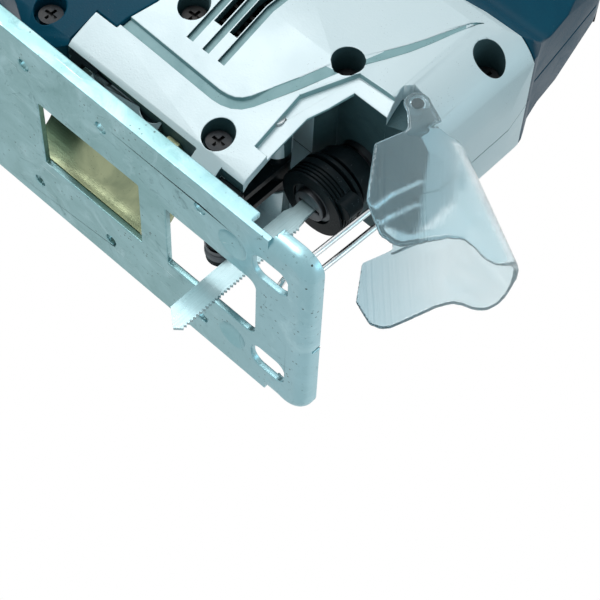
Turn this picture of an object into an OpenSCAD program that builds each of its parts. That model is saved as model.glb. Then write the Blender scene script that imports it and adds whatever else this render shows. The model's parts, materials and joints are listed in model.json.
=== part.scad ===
// Jigsaw with a D-handle, drawn with X along the cut, Y to the left and Z up.
// The origin lies on the underside of the sole plate, under the middle of the blade.
// The plunger stands at the top of its stroke and the clear hood is swung open.

/* [Sole plate] */
// Width of the sole plate over its side flanges
plate_w = 82; // [80:0.5:88]
// Length of the plate behind the blade
plate_rear = 122; // [114:1:130]
// Length of the flat plate in front of the blade
plate_front = 31; // [30:0.5:35]
// Thickness of the plate
plate_t = 2.2; // [1.8:0.1:2.4]
// Height of the side flanges above the underside
flange_h = 5.7; // [5:0.1:6.2]
// Height of the rolled front lip above the underside
lip_h = 7.8; // [7:0.1:9]
// Width of the window that the blade passes through
blade_window_w = 29; // [27:0.5:32]
// Diameter of the mounting holes
plate_hole_d = 4.4; // [3.5:0.1:5]
// Distance between the two rows of mounting holes
plate_hole_pitch_y = 59; // [56:0.5:62]
// Distance from the front mounting holes to the rear ones
plate_hole_pitch_x = 74.8; // [70:0.2:78]
// Diameter of the pressed domes near the front corners
dome_d = 11; // [9:0.5:12]

/* [Bevel cradle] */
// Inner radius of the cradle arch
arch_r = 15.3; // [14.5:0.1:15.5]
// Thickness of the cradle arch
arch_t = 1.8; // [1.5:0.1:2]
// Length of the cradle arch
arch_len = 55.5; // [52:0.5:58]
// Diameter of the clamp bolt
clamp_bolt_d = 5; // [4:0.5:5]

/* [Housing] */
// Distance from the blade to the rear of the housing
housing_rear = 187; // [184:0.5:194]
// Height of the top of the handle above the sole
housing_top = 192.5; // [189:0.5:198]
// Width of the motor and gear housing
body_w = 66; // [65:0.5:70]
// Width of the handle
handle_w = 34; // [32:0.5:38]
// Wall of the housing shells
wall = 3; // [2.6:0.1:3.2]
// Gap between neighbouring shells at their seams
seam = 0.2; // [0.1:0.05:0.3]
// Depth of the broad groove in the gear covers
groove_depth = 1.4; // [0.8:0.1:1.8]
// Width of the broad groove in the gear covers
groove_w = 3.6; // [3:0.1:4.2]
// Depth of the step that the closed hood lies in
rebate_depth = 2; // [1.8:0.1:2.2]
// Diameter of the recesses over the screw heads
screw_recess_d = 10.5; // [9.5:0.1:11]
// Diameter of the screws that hold the shells together
screw_d = 4; // [3.5:0.1:4.2]

/* [Motor] */
// Outer diameter of the stator
stator_d = 50; // [48:0.5:51]
// Length of the stator's laminations
stator_len = 44; // [38:1:48]
// Diameter of the armature core
armature_d = 29; // [27:0.5:30]
// Diameter of the armature shaft
shaft_d = 8; // [7:0.5:8.5]
// Outer diameter of the cooling fan
fan_d = 46; // [42:0.5:46.5]
// Number of fan blades
fan_blades = 16; // [10:1:20]
// Diameter of the commutator
commutator_d = 22; // [20:0.5:23]

/* [Gear and plunger] */
// Module of the reduction gear
gear_module = 0.8; // [0.78:0.01:0.82]
// Teeth on the driven gear
gear_teeth = 46; // [46:2:48]
// Teeth on the motor pinion
pinion_teeth = 10; // [9:1:10]
// Thickness of the driven gear
gear_t = 7; // [6:0.5:7.5]
// Stroke of the plunger
stroke = 20; // [16:0.5:20]
// Diameter of the plunger rod
rod_d = 11; // [10:0.5:11.5]
// Diameter of the crank pin
crank_pin_d = 8; // [7:0.5:8.5]
// Radial clearance of every running fit
fit = 0.05; // [0.03:0.01:0.09]

/* [Blade and clamp] */
// Width of the blade
blade_w = 8; // [7.5:0.1:8.2]
// Thickness of the blade
blade_t = 1.2; // [0.9:0.1:1.4]
// How far the blade's point reaches below the sole at the top of the stroke
blade_below = 21.4; // [18:0.5:24]
// Distance between the blade's teeth
tooth_pitch = 1.3; // [1:0.1:2.2]
// Outer diameter of the clamp sleeve
sleeve_d = 24.4; // [23:0.1:24.6]
// Number of grip rings round the clamp sleeve
sleeve_rings = 4; // [2:1:4]

/* [Roller guide] */
// Diameter of the blade's support roller
roller_d = 10; // [9:0.5:10.5]
// Width of the support roller
roller_w = 5; // [4:0.5:5.5]

/* [Guard and hood] */
// Diameter of the guard wire
wire_d = 2; // [1.6:0.1:2.4]
// Distance between the two legs of the guard wire
wire_gap = 12; // [11:0.5:13]
// Thickness of the clear hood
hood_t = 1.8; // [1.5:0.1:1.9]
// Angle that the hood is swung up from its closed place
hood_open = 67; // [55:1:67]

/* [Controls] */
// Width of the trigger
trigger_w = 13.6; // [12:0.2:15]
// Travel of the trigger
trigger_travel = 6; // [4:0.5:6]
// Diameter of the lock-on button
lock_button_d = 8; // [7:0.5:9]
// Diameter of the speed wheel
speed_wheel_d = 22; // [21:0.5:23]
// Outer diameter of the cord gland
gland_d = 16; // [14:0.5:17]
// Diameter of the cord hole through the gland
cord_d = 7; // [6:0.5:8]

/* [Hidden] */
$fn = 64;

// Colours
silver = [0.80, 0.86, 0.88];
deep_blue = [0.07, 0.25, 0.36];
zinc = [0.66, 0.76, 0.76];
yellow_zinc = [0.72, 0.70, 0.45];
black = [0.10, 0.11, 0.12];
steel = [0.72, 0.74, 0.75];
dark_steel = [0.30, 0.31, 0.33];
copper = [0.75, 0.42, 0.22];
bronze = [0.70, 0.52, 0.28];
alloy = [0.74, 0.76, 0.78];
rubber = [0.13, 0.14, 0.15];
clear = [0.86, 0.93, 0.96, 0.4];

// Heights that the whole tool hangs on
bottom_z = 22.9;                       // where the flanks begin
shoulder_z = 66.2;                     // where the flanks reach full width
cover_bottom_z = 21.2;                 // underside of the gear covers
roof_z = 62.3;                         // roof over the blade clamp
gear_z = 85.5;                         // axis of the driven gear
motor_z = gear_z - gear_module * (gear_teeth + pinion_teeth) / 2;
body_hw = body_w / 2;
handle_hw = handle_w / 2;
flank_y = 18.5;                        // half width at the foot of the flanks
foot_y = 13;                           // half width of the keel under the flanks
foot_z = 16.5;                         // lowest point of the keel
far = 300;                             // longer than anything on the tool

// The side outlines are drawn for these two sizes and follow the chosen ones
drawn_rear = 187;
drawn_top = 192.5;
function share(v) = max(0, min(1, v));
function reach(x) = x - (housing_rear - drawn_rear) * share((-x - 130) / 40);
function rise(z) = z + (housing_top - drawn_top) * share((z - 150) / 20);
function grown(points) = [for (p = points) [reach(p[0]), rise(p[1])]];

// Half width of the housing at a height on the flanks
function flank(z) =
    z >= shoulder_z ? body_hw
    : flank_y + (body_hw - flank_y) * (z - bottom_z) / (shoulder_z - bottom_z);

// ---------------------------------------------------------------- shared shapes

// Extrudes an outline given in (x, z) to both sides of the middle plane
module slab(outline, half_width = far / 2) {
    rotate([90, 0, 0]) linear_extrude(2 * half_width, center = true) polygon(outline);
}

// Cylinder along X from x to x + len
module rod_x(x, z, d, len, y = 0) {
    translate([x, y, z]) rotate([0, 90, 0]) cylinder(d = d, h = len);
}

// Cylinder along Y between two values of y
module rod_y(x, z, d, y0, y1) {
    translate([x, y1, z]) rotate([90, 0, 0]) cylinder(d = d, h = y1 - y0);
}

// Cylinder along Z between two heights
module rod_z(x, y, d, z0, z1) {
    translate([x, y, z0]) cylinder(d = d, h = z1 - z0);
}

// Box between two corners
module box(a, b) {
    translate(a) cube(b - a);
}

// Keeps one side of the middle plane: -1 is the right half, 1 the left
module half(side) {
    intersection() {
        children();
        box([-far, side < 0 ? -far : seam / 2, -far], [far, side < 0 ? -seam / 2 : far, far]);
    }
}

// Cross-section of the housing, drawn in (y, z), with its walls moved in by an inset
function half_section(inset) = [
    [foot_y - 0.6 * inset, foot_z + inset],
    [flank_y - 1.1 * inset, bottom_z + 0.2 * inset],
    [body_hw - inset, shoulder_z],
    [body_hw - inset, 106 - 0.3 * inset],
    [body_hw - 2 - inset, 112 - 0.4 * inset],
    [body_hw - 7 - inset, 119 - 0.6 * inset],
    [handle_hw + 3 - inset, 125 - 0.7 * inset],
    [handle_hw - inset, 131 - 0.4 * inset],
    [handle_hw - inset, rise(176)],
    [handle_hw - 2.5 - 0.9 * inset, rise(184) - 0.5 * inset],
    [handle_hw - 7 - 0.6 * inset, rise(189.5) - inset],
    [handle_hw - 12 - 0.2 * inset, rise(192) - inset]
];
function mirrored(points) = [for (i = [len(points) - 1:-1:0]) [-points[i][0], points[i][1]]];

module section(inset = 0) {
    rotate([90, 0, 90]) translate([0, 0, -far])
        linear_extrude(2 * far) polygon(concat(half_section(inset), mirrored(half_section(inset))));
}

// Plan of the housing, with a rounded nose
nose_x = 25;                           // front of the nose
nose_r = 23;                           // radius of the nose's corners
module plan(inset = 0) {
    corner_y = body_hw - nose_r;
    linear_extrude(far) {
        translate([-far, -body_hw + inset]) square([far + nose_x - nose_r, body_w - 2 * inset]);
        translate([0, -corner_y]) square([nose_x - inset, 2 * corner_y]);
        for (s = [-1, 1]) translate([nose_x - nose_r, s * corner_y]) circle(r = nose_r - inset);
    }
}

module body_solid(inset = 0) {
    intersection() {
        section(inset);
        plan(inset);
        children();
    }
}

// ---------------------------------------------------------------- side outlines

front_bearing_x = -34.5;
bearing_w = 7;
keel_x0 = -31;                         // short keel under the front of the covers
keel_x1 = -20.5;
keel_z = foot_z + 0.9;
bearing_front = front_bearing_x + bearing_w;
cover_outline = [
    [-11.2, cover_bottom_z], [-11.5, 33.5], [-10.8, 48.2], [-7.8, 54.4], [-4.9, roof_z],
    [8.3, roof_z], [18, 66], [22, 66.3], [24.5, 70.7], [nose_x, 80], [nose_x, 104],
    [22.4, 116], [2, 115.5], [-8, 112.6], [-30, 107], [-66, 93], [-71, 70], [-74.3, 47.7],
    [-78, 38.2], [-78.7, 34.1], [-88, 34], [-87.5, cover_bottom_z], [keel_x0, cover_bottom_z],
    [keel_x0, keel_z], [keel_x1, keel_z], [keel_x1, cover_bottom_z]
];
cover_cavity = [
    [-84.5, cover_bottom_z + wall], [bearing_front + 0.5, cover_bottom_z + wall],
    [bearing_front + 0.5, 56.8], [-13.8, 56.8],
    [-13.8, roof_z + wall], [8, roof_z + wall], [16, 69], [20, 71.5], [nose_x - wall, 78],
    [nose_x - wall, 103], [19.8, 112.6], [2.5, 112.4], [-7.5, 109.4], [-29, 103.8],
    [-63.5, 90.2], [-68.5, 70], [-71.2, 48], [-75, 40], [-75.5, 31], [-84.5, 31]
];
// Open bay behind and beside the blade clamp
bay_outline = [
    [-22.8, 0], [0, 0], [0, roof_z], [-10.6, roof_z], [-10.6, 59], [-13, 53.8], [-23.4, 53.8],
    [-23.4, 35], [-22.8, 35]
];
hood_notch = [
    [8.3, 55], [8.3, 62.2], [6.4, 67.8], [5, 72.9], [7.1, 75.6], [13.5, 75.6], [18.9, 73.3],
    [30, 71], [30, 55]
];
rebate_outline = [
    [-16.7, 31.7], [-17, 51.3], [-7.2, 67], [9, 67.8], [9, 40], [0, 20], [-11.3, 20], [-11.4, 31.7]
];
groove_path = [
    [-82, 37.4], [-60, 37], [-38, 36.5], [-34.6, 36.8], [-31.6, 37.7], [-29.2, 39.2],
    [-27.2, 41.5], [-23.4, 47.8], [-19.5, 54.2], [-15.6, 61.5], [-10.6, 70], [-6.6, 77.7],
    [-3.4, 84.2], [-0.9, 90.6], [1.4, 97.4], [3.6, 103.6], [5.8, 109]
];
// Share of the groove's width at each point of its path
groove_share = [1, 1, 1, 1, 1, 1, 1, 1, 1, 1, 0.95, 0.85, 0.75, 0.62, 0.48, 0.32, 0.15];
housing_outline = grown([
    [-84, 24], [-87.4, cover_bottom_z], [-92.9, 17.8], [-102.7, 17.1], [-106, 18.4],
    [-111.7, 21.4], [-125, 26], [-150, 31], [-170, 38], [-182, 50], [-187, 68], [-186.5, 98],
    [-180, 118], [-166, 146], [-150, 167], [-130, 181], [-100, 189], [-50, 192.5], [-20, 192],
    [-6, 187.5], [4, 178.5], [9.6, 171], [12.4, 164.3], [15.6, 143], [18.2, 125], [21.6, 118.4],
    [21.9, 116.1], [15, 108], [-10, 98], [-60, 80], [-66, 50], [-80, 30]
]);
motor_bay = grown([
    [-60, 38], [-60, 86], [-72, 93.5], [-150, 95], [-178, 92], [-183.5, 70], [-179, 52],
    [-168, 41.5], [-149, 34.2], [-124.5, 29.4], [-111, 25], [-103, 21], [-92, 21.8], [-90, 37.5]
]);
handle_cavity = grown([
    [-18.5, 119.5], [15, 119.5], [12.2, 143], [9.2, 163], [6.4, 169.6], [1.2, 176], [-7.5, 184.2],
    [-21, 188.6],
    [-50, 189.2], [-99.5, 185.8], [-128.6, 178], [-147.4, 164.4], [-163.3, 144.4], [-177, 117],
    [-180, 103], [-121, 103], [-121.4, 130], [-115, 146], [-97, 155], [-40, 156.2], [-24, 152],
    [-17, 141]
]);
hand_hole = grown([
    [-22, 122], [-20, 140], [-26, 149], [-40, 153], [-96, 152], [-112, 144], [-118, 130],
    [-112, 119], [-62, 113.5], [-30, 115]
]);

// A broad line of constant width along a path in (x, z), with mitred corners
function unit(v) = v / norm(v);
function heading(path, i) =
    unit(path[min(i + 1, len(path) - 1)] - path[min(i, len(path) - 2)]);
function mitre(path, i, reach) =
    let (a = heading(path, max(i - 1, 0)), b = heading(path, i), n = unit(a + b))
    path[i] + reach / (a * n) * [-n[1], n[0]];
module stroke_along(path, w, shares) {
    last = len(path) - 1;
    slab(concat(
        [for (i = [0:last]) mitre(path, i, shares[i] * w / 2)],
        [for (i = [last:-1:0]) mitre(path, i, -shares[i] * w / 2)]
    ));
}

// ---------------------------------------------------------------- shell screws

// x, z, half width at which the head sits, and the y that the shank reaches
cover_screw_at = [
    [-28.2, 27.9, 14.2, 12], [14.6, 102, 17, 12], [-64.1, 53.7, 21, -16], [-13.1, 68.3, 21.5, -15.6]
];
housing_screw_at = [
    [-101, 26.4, 13.8, 11], [reach(-175), 90, 25, 18], [reach(-160), 138, 11, 9],
    [-124, rise(168), 11, 9], [-72, rise(178.5), 10, 8], [-0.5, 148, 11, 9]
];
screw_head_d = 2 * screw_d;
screw_head_h = 2.6;
boss_d = screw_recess_d + 1.6;

module shell_bosses(list) {
    for (p = list) {
        rod_y(p[0], p[1], boss_d, -far, p[3] > 0 ? -0.1 : p[3]);
        if (p[3] > 0) rod_y(p[0], p[1], screw_d + 5, 0.1, far);
    }
}

module shell_screw_holes(list) {
    for (p = list) {
        rod_y(p[0], p[1], screw_recess_d, -far, -p[2]);
        rod_y(p[0], p[1], screw_d, -far, p[3]);
    }
}

module shell_screws(list) {
    for (p = list) {
        y0 = -p[2];
        difference() {
            rod_y(p[0], p[1], screw_head_d, y0 - screw_head_h, y0);
            for (a = [0, 90]) translate([p[0], y0 - screw_head_h, p[1]]) rotate([0, a, 0])
                cube([0.6 * screw_head_d, 2.4, 1.1], center = true);
        }
        rod_y(p[0], p[1], screw_d, y0 - 1, p[3]);
    }
}

// ---------------------------------------------------------------- housing shells

bush_d = rod_d + 5;
lower_bush_z = 60.5;
lower_bush_h = 7.5;
upper_bush_z = 103.6;
upper_bush_h = 7.5;
fork_pin_x = -18.2;
fork_pin_z = 43;
fork_pin_d = 5;
hood_pin_x = 12.5;
hood_pin_z = 70.8;
hood_pin_d = 4;
notch_y = body_hw - 7;                 // floor of the notches for the hood's ears
pad_y = notch_y - 4;                   // inner face of the pads behind them
vent_x = [-57.1, -50.3, -43.7];
vent_z0 = 44.6;
vent_z1 = 82;

module cover_vents() {
    // Upright grooves in the flank
    difference() {
        for (x = vent_x) box([x - 1.4, -far, vent_z0], [x + 1.4, far, vent_z1]);
        section(1.3);
    }
    // Air slots between the grooves
    for (x = [vent_x[0] + 3.4, vent_x[1] + 3.3])
        for (s = [-1, 1]) box([x - 1.6, s < 0 ? -far : 12, 53.4], [x + 1.6, s < 0 ? -12 : far, 79]);
}

module gear_cover(side) {
    half(side) difference() {
        union() {
            difference() {
                body_solid() slab(cover_outline);
                body_solid(wall) slab(cover_cavity);
                body_solid(wall) slab([[-95, 37.5], [-66, 37.5], [-66, 87.5], [-95, 87.5]]);
                body_solid(wall) slab(bay_outline);
            }
            // Bosses for the screws and seats for the two plunger bushes
            body_solid(0.5) intersection() {
                slab(cover_outline);
                union() {
                    shell_bosses(cover_screw_at);
                    rod_z(0, 0, bush_d + 6, roof_z, lower_bush_z + lower_bush_h);
                    rod_z(0, 0, bush_d + 6, upper_bush_z, 113);
                    box([-9, -far, upper_bush_z + 1.5], [14, far, upper_bush_z + 5]);
                }
            }
            // Backing behind the notches for the hood's ears
            for (s = [-1, 1]) body_solid(0.5) intersection() {
                slab(cover_outline);
                box([2, s < 0 ? -far : pad_y, 60], [24, s < 0 ? -pad_y : far, 79]);
            }
            // Bosses that carry the pivot of the roller fork
            for (s = [-1, 1]) body_solid(0.5)
                rod_y(fork_pin_x, fork_pin_z, fork_pin_d + 5, s < 0 ? -far : 9, s < 0 ? -9 : far);
        }
        // Step for the closed hood, broad groove and vents
        difference() {
            slab(rebate_outline);
            section(rebate_depth);
        }
        difference() {
            stroke_along(groove_path, groove_w, groove_share);
            section(groove_depth);
        }
        cover_vents();
        // Side notches where the hood hangs
        for (s = [-1, 1]) intersection() {
            slab(hood_notch);
            box([-far, s < 0 ? -far : notch_y, 0], [far, s < 0 ? -notch_y : far, far]);
        }
        rod_y(hood_pin_x, hood_pin_z, hood_pin_d, -far, -pad_y);
        rod_y(hood_pin_x, hood_pin_z, hood_pin_d, pad_y, far);
        rod_z(0, 0, bush_d, 50, lower_bush_z + lower_bush_h);
        rod_z(0, 0, bush_d, upper_bush_z, upper_bush_z + upper_bush_h);
        rod_z(0, 0, rod_d + 1.6, 55, 130);
        rod_y(fork_pin_x, fork_pin_z, fork_pin_d, -flank(fork_pin_z) + 1.5, flank(fork_pin_z) - 1.5);
        shell_screw_holes(cover_screw_at);
        for (s = [-1, 1]) wire_leg_hole(s);
        blower_track();
        if (side > 0) selector_bore();
        clamp_bolt_hole();
        stop_bolt_holes();
    }
}

// The grip pad is let into the outer skin of the handle
pad_t = 1.6;
pad_region = [
    [-113, rise(165)], [-106, rise(172.5)], [-16, rise(176)], [-4, rise(171)], [22, rise(171)],
    [22, far], [-115, far]
];
module grip_pad_shape(side_clearance = 0) {
    difference() {
        body_solid(side_clearance) intersection() {
            slab(housing_outline);
            slab(pad_region);
        }
        body_solid(pad_t) translate([0, 0, -pad_t]) slab(housing_outline);
        wheel_slot();
        shell_screw_holes(housing_screw_at);
    }
}

// Ribs that carry the stator, the rear bearing and the brush holders
module motor_ribs() {
    rib_t = 3;
    difference() {
        for (x = [stator_x0 + 2, stator_x0 + stator_len - rib_t - 2])
            box([x, -far, 15], [x + rib_t, far, 97]);
        rod_x(stator_x0, motor_z, stator_d, stator_len);
    }
    difference() {
        box([rear_bearing_x - 1, -bearing_d / 2 - 4, 30],
            [rear_bearing_x + bearing_w, bearing_d / 2 + 4, 97]);
        rod_x(rear_bearing_x, motor_z, bearing_d, bearing_w + 1);
        rod_x(rear_bearing_x - 2, motor_z, shaft_d + 4, 10);
    }
    for (s = [-1, 1]) box(
        [commutator_x, s < 0 ? -far : brush_y, motor_z - 6],
        [commutator_x + commutator_len, s < 0 ? -brush_y : far, motor_z + 6]
    );
}

// Rails in the handle on both sides of the switch
module switch_rails() {
    for (s = [-1, 1], x = [switch_x0 + 2, switch_x0 + switch_len - 6]) box(
        [x, s < 0 ? -far : switch_hw, switch_z0],
        [x + 4, s < 0 ? -switch_hw : far, switch_z0 + 12]
    );
}

// Long slanted chamfers that narrow the front of the handle towards its top
front_chamfer = [22.5, 20, 118];       // point on each chamfer
front_chamfer_turn = 31;               // turn away from straight ahead, in plan
front_chamfer_tilt = 17.6;             // upward tilt
module handle_front() {
    intersection_for (s = [-1, 1])
        translate([front_chamfer[0], s * front_chamfer[1], front_chamfer[2]])
            rotate([0, -front_chamfer_tilt, s * front_chamfer_turn])
                box([-2 * far, -far, -far], [0, far, far]);
}

module motor_housing(side) {
    half(side) difference() {
        union() {
            difference() {
                intersection() {
                    body_solid() slab(housing_outline);
                    handle_front();
                }
                for (shift = [[0, 0, 0], [-seam, 0, 0], [0, 0, seam]])
                    translate(shift) slab(cover_outline);
                body_solid(wall) slab(motor_bay);
                body_solid(wall) slab(handle_cavity);
            }
            body_solid(0.5) intersection() {
                slab(housing_outline);
                difference() {
                    union() {
                        shell_bosses(housing_screw_at);
                        motor_ribs();
                        switch_rails();
                    }
                    slab(cover_outline);
                }
            }
        }
        slab(hand_hole);
        body_solid(0) grip_pad_shape();
        rod_z(0, 0, rod_d + 1.6, 100, rod_top + 2);
        trigger_slot();
        wheel_slot();
        shell_screw_holes(housing_screw_at);
        gland_bore();
        if (side > 0) lock_button_bore();
        // Air inlet slots at the rear of the motor
        for (i = [0:5]) box([-166 + 6 * i, side < 0 ? -far : 14, 52],
            [-163 + 6 * i, side < 0 ? -14 : far, 74]);
    }
}

module gear_cover_right() { color(silver) gear_cover(-1); }
module gear_cover_left() { color(silver) gear_cover(1); }
module motor_housing_right() { color(deep_blue) motor_housing(-1); }
module motor_housing_left() { color(deep_blue) motor_housing(1); }
module grip_pad() { color(rubber) grip_pad_shape(); }
module cover_screws() { color(dark_steel) shell_screws(cover_screw_at); }
module housing_screws() { color(dark_steel) shell_screws(housing_screw_at); }

// Fine mesh behind the air slots of each cover
module vent_mesh() {
    color(dark_steel) for (s = [-1, 1]) {
        z0 = 51;
        z1 = 80;
        for (i = [0:5]) {
            z = z0 + (z1 - z0) * i / 5;
            y = s * (flank(z) - wall - 0.8);
            translate([vent_x[0] - 1, y - 0.4, z - 0.6]) cube([17, 0.8, 1.2]);
        }
        for (x = [vent_x[0] - 1, vent_x[1], vent_x[2] + 1])
            rotate([90, 0, 90]) translate([0, 0, x]) linear_extrude(1.2) polygon([
                [s * (flank(z0) - wall - 1.6), z0 - 1], [s * (flank(z0) - wall - 0.7), z0 - 1],
                [s * (body_hw - wall - 0.5), shoulder_z], [s * (body_hw - wall - 0.5), z1 + 1],
                [s * (body_hw - wall - 1.4), z1 + 1], [s * (body_hw - wall - 1.4), shoulder_z]
            ]);
    }
}

// ---------------------------------------------------------------- sole plate

plate_hw = plate_w / 2;
plate_hole_x0 = -8.2;
plate_hole_x1 = plate_hole_x0 - plate_hole_pitch_x;
plate_hole_mid = -49.5;
plate_hole_y = plate_hole_pitch_y / 2;
arch_x0 = -88;
rear_window_x0 = -78.5;
rear_window_x1 = -34.5;
window_front = 14.4;
window_rear = -23;
plate_bolt_x = -37.6;

module plate_plan() {
    corner = 6;
    difference() {
        union() {
            translate([-plate_rear, -plate_hw]) square([plate_rear + 24, plate_w]);
            translate([0, -plate_hw + corner]) square([plate_front, plate_w - 2 * corner]);
            for (s = [-1, 1]) translate([plate_front - 7, s * (plate_hw - 7)]) circle(r = 7);
        }
        translate([rear_window_x0, -arch_r]) square([rear_window_x1 - rear_window_x0, 2 * arch_r]);
        blade_window();
        for (x = [plate_hole_x0, plate_hole_mid, plate_hole_x1], s = [-1, 1])
            translate([x, s * plate_hole_y]) circle(d = plate_hole_d);
        for (s = [-1, 1]) guide_slot(s);
    }
}

module blade_window() {
    r = 3.5;
    hw = blade_window_w / 2;
    translate([window_rear, -hw]) square([window_front - r - window_rear, 2 * hw]);
    translate([0, -hw + r]) square([window_front, 2 * (hw - r)]);
    for (s = [-1, 1]) translate([window_front - r, s * (hw - r)]) circle(r = r);
}

module guide_slot(s) {
    r = 4;
    for (x = [13 + r, 27 - r], y = [19.5 + r, 30 - r]) translate([x, s * y]) circle(r = r);
    translate([13 + r, s > 0 ? 19.5 : -30]) square([14 - 2 * r, 10.5]);
    translate([13, s > 0 ? 19.5 + r : -30 + r]) square([14, 10.5 - 2 * r]);
}

module base_plate() {
    dome_rise = 2.4;
    dome_r = (dome_d * dome_d / 4 + dome_rise * dome_rise) / (2 * dome_rise);
    lip = [
        [plate_front - 4, 0], [plate_front + 1.5, 0.5], [plate_front + 4.3, 2.2],
        [plate_front + 6, 4.8], [plate_front + 6.4, lip_h], [plate_front + 6.4 - plate_t, lip_h],
        [plate_front + 4, 5.6], [plate_front + 2.6, 3.6], [plate_front + 0.6, plate_t + 0.2],
        [plate_front - 4, plate_t]
    ];
    color(zinc) {
        difference() {
            linear_extrude(plate_t) plate_plan();
            for (s = [-1, 1]) translate([5, s * 25, dome_rise - dome_r]) sphere(r = dome_r - 0.01);
        }
        for (s = [-1, 1]) intersection() {
            difference() {
                translate([5, s * 25, dome_rise + plate_t - dome_r]) sphere(r = dome_r);
                translate([5, s * 25, dome_rise - dome_r]) sphere(r = dome_r - 0.01);
            }
            rod_z(5, s * 25, dome_d, 0.3, 20);
        }
        for (s = [-1, 1]) box(
            [-plate_rear, s < 0 ? -plate_hw : plate_hw - plate_t, 0],
            [10.6, s < 0 ? -plate_hw + plate_t : plate_hw, flange_h]
        );
        difference() {
            slab(lip, plate_hw - 6.5);
            translate([plate_front + 12, 0, -1]) cylinder(d = 16, h = 30);
        }
    }
}

module arch_ring(r0, r1, x0, len) {
    difference() {
        rod_x(x0, 0, 2 * r1, len);
        rod_x(x0 - 1, 0, 2 * r0, len + 2);
        box([x0 - 1, -far, -far], [x0 + len + 1, far, plate_t]);
    }
}

// Bent strip that is welded on over the rear window
module cradle_arch() {
    slot_w = clamp_bolt_d + 1;
    slot_hw = 0.83 * (arch_r + arch_t);
    foot_cut = 3;
    color(yellow_zinc) difference() {
        arch_ring(arch_r, arch_r + arch_t, arch_x0, arch_len);
        // Bevel slot for the clamp bolt, open over the whole swing
        box([plate_bolt_x - slot_w / 2, -slot_hw, 7], [plate_bolt_x + slot_w / 2, slot_hw, 30]);
        // Feet cut back at the front
        box([rear_window_x1 - foot_cut, -far, 0], [0, far, plate_t + foot_cut]);
    }
}

// Saddle under the gear covers that rides on the arch
seat_gap = 0.3;
seat_x0 = -75.5;
seat_len = 30;
module cradle_seat() {
    outer = [
        [arch_r - 3.6, 15.4], [15.8, cover_bottom_z - 0.1], [-15.8, cover_bottom_z - 0.1],
        [-arch_r + 3.6, 15.4]
    ];
    color(alloy) difference() {
        rotate([90, 0, 90]) translate([0, 0, seat_x0]) linear_extrude(seat_len) polygon(outer);
        rod_x(seat_x0 - 1, 0, 2 * (arch_r + arch_t + seat_gap), seat_len + 2);
        clamp_bolt_hole();
        // Scalloped upper edges
        for (x = [-71.5, -51], s = [-1, 1])
            rod_y(x, cover_bottom_z + 4, 12, s < 0 ? -far : 10.5, s < 0 ? -10.5 : far);
    }
}

bolt_head_h = 3.6;
washer_t = 1.2;
module clamp_bolt_hole() {
    rod_z(plate_bolt_x, 0, clamp_bolt_d + 0.3, 10, 30.3);
}

module clamp_washer() {
    r1 = arch_r - seat_gap;
    color(yellow_zinc) difference() {
        intersection() {
            arch_ring(r1 - washer_t, r1, plate_bolt_x - 8, 16);
            rod_z(plate_bolt_x, 0, 13, 5, 20);
        }
        rod_z(plate_bolt_x, 0, clamp_bolt_d + 0.2, 0, 30);
    }
}

module clamp_bolt() {
    head_top = sqrt(pow(arch_r - seat_gap - washer_t, 2) - 30) - 0.1;
    color(yellow_zinc) {
        difference() {
            translate([plate_bolt_x, 0, head_top - bolt_head_h]) cylinder(d = 11, h = bolt_head_h, $fn = 6);
            translate([plate_bolt_x, 0, head_top - bolt_head_h - 1]) cylinder(d = 5, h = 3, $fn = 6);
        }
        rod_z(plate_bolt_x, 0, clamp_bolt_d, head_top - 1, 30);
    }
}

// Hex bolts under the covers in front of the saddle
stop_bolt_x = -40;
stop_bolt_y = 8.8;
stop_bolt_d = 5;
stop_head_d = 9.8;
stop_head_h = 3.4;
stop_thread_d = 6;
stop_thread_z = 18.1;
stop_thread_y = 9.4;
stop_shank_z = 19.2;
module stop_bolt_holes() {
    for (s = [-1, 1]) {
        rod_z(stop_bolt_x, s * stop_bolt_y, stop_bolt_d + 0.2, keel_z, cover_bottom_z + wall + 2);
        rod_x(keel_x0 - 1, stop_shank_z, 3.2, 5, s * stop_bolt_y);
    }
}

module stop_bolts() {
    z1 = cover_bottom_z - 0.2;
    color(yellow_zinc) for (s = [-1, 1]) {
        translate([stop_bolt_x, s * stop_bolt_y, z1 - stop_head_h])
            cylinder(d = stop_head_d, h = stop_head_h, $fn = 6);
        rod_z(stop_bolt_x, s * stop_bolt_y, stop_bolt_d, z1 - 1, cover_bottom_z + wall - 0.5);
    }
}

// Ribbed ends of the two adjusting screws behind the keel
module stop_screws() {
    x0 = stop_bolt_x + stop_head_d / 2 + 0.3;
    color(steel) for (s = [-1, 1]) {
        difference() {
            rod_x(x0, stop_thread_z, stop_thread_d, keel_x0 - 0.3 - x0, s * stop_thread_y);
            for (i = [0:2]) difference() {
                rod_x(x0 + 0.6 + 1.1 * i, stop_thread_z, far, 0.5, s * stop_thread_y);
                rod_x(x0 - 1, stop_thread_z, stop_thread_d - 1.2, 9, s * stop_thread_y);
            }
        }
        rod_x(x0 + 1, stop_shank_z, 3, keel_x0 + 3 - x0, s * stop_bolt_y);
    }
}

// Black bracket in front of the keel, with a slot that the roller fork swings in
module guide_bracket() {
    top = cover_bottom_z - 0.2;
    bracket_hw = foot_y + 0.4;
    bracket_x1 = -10.6;
    fork_slot_hw = 6.6;
    color(black) difference() {
        box([keel_x1 + 0.3, -bracket_hw, keel_z - 0.2], [bracket_x1, bracket_hw, top]);
        box([keel_x1 - 1, -fork_slot_hw, 0], [0, fork_slot_hw, 40]);
    }
}

// ---------------------------------------------------------------- motor

stator_x0 = -126;
armature_x0 = stator_x0 - 2;
armature_len = stator_len + 3;
fan_x = -57;
fan_len = 13;
commutator_x = -150;
commutator_len = 14;
rear_bearing_x = reach(-170);
bearing_d = 22;
air_gap = 0.5;
brush_y = 25;                          // outer end of the brush holders

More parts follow.
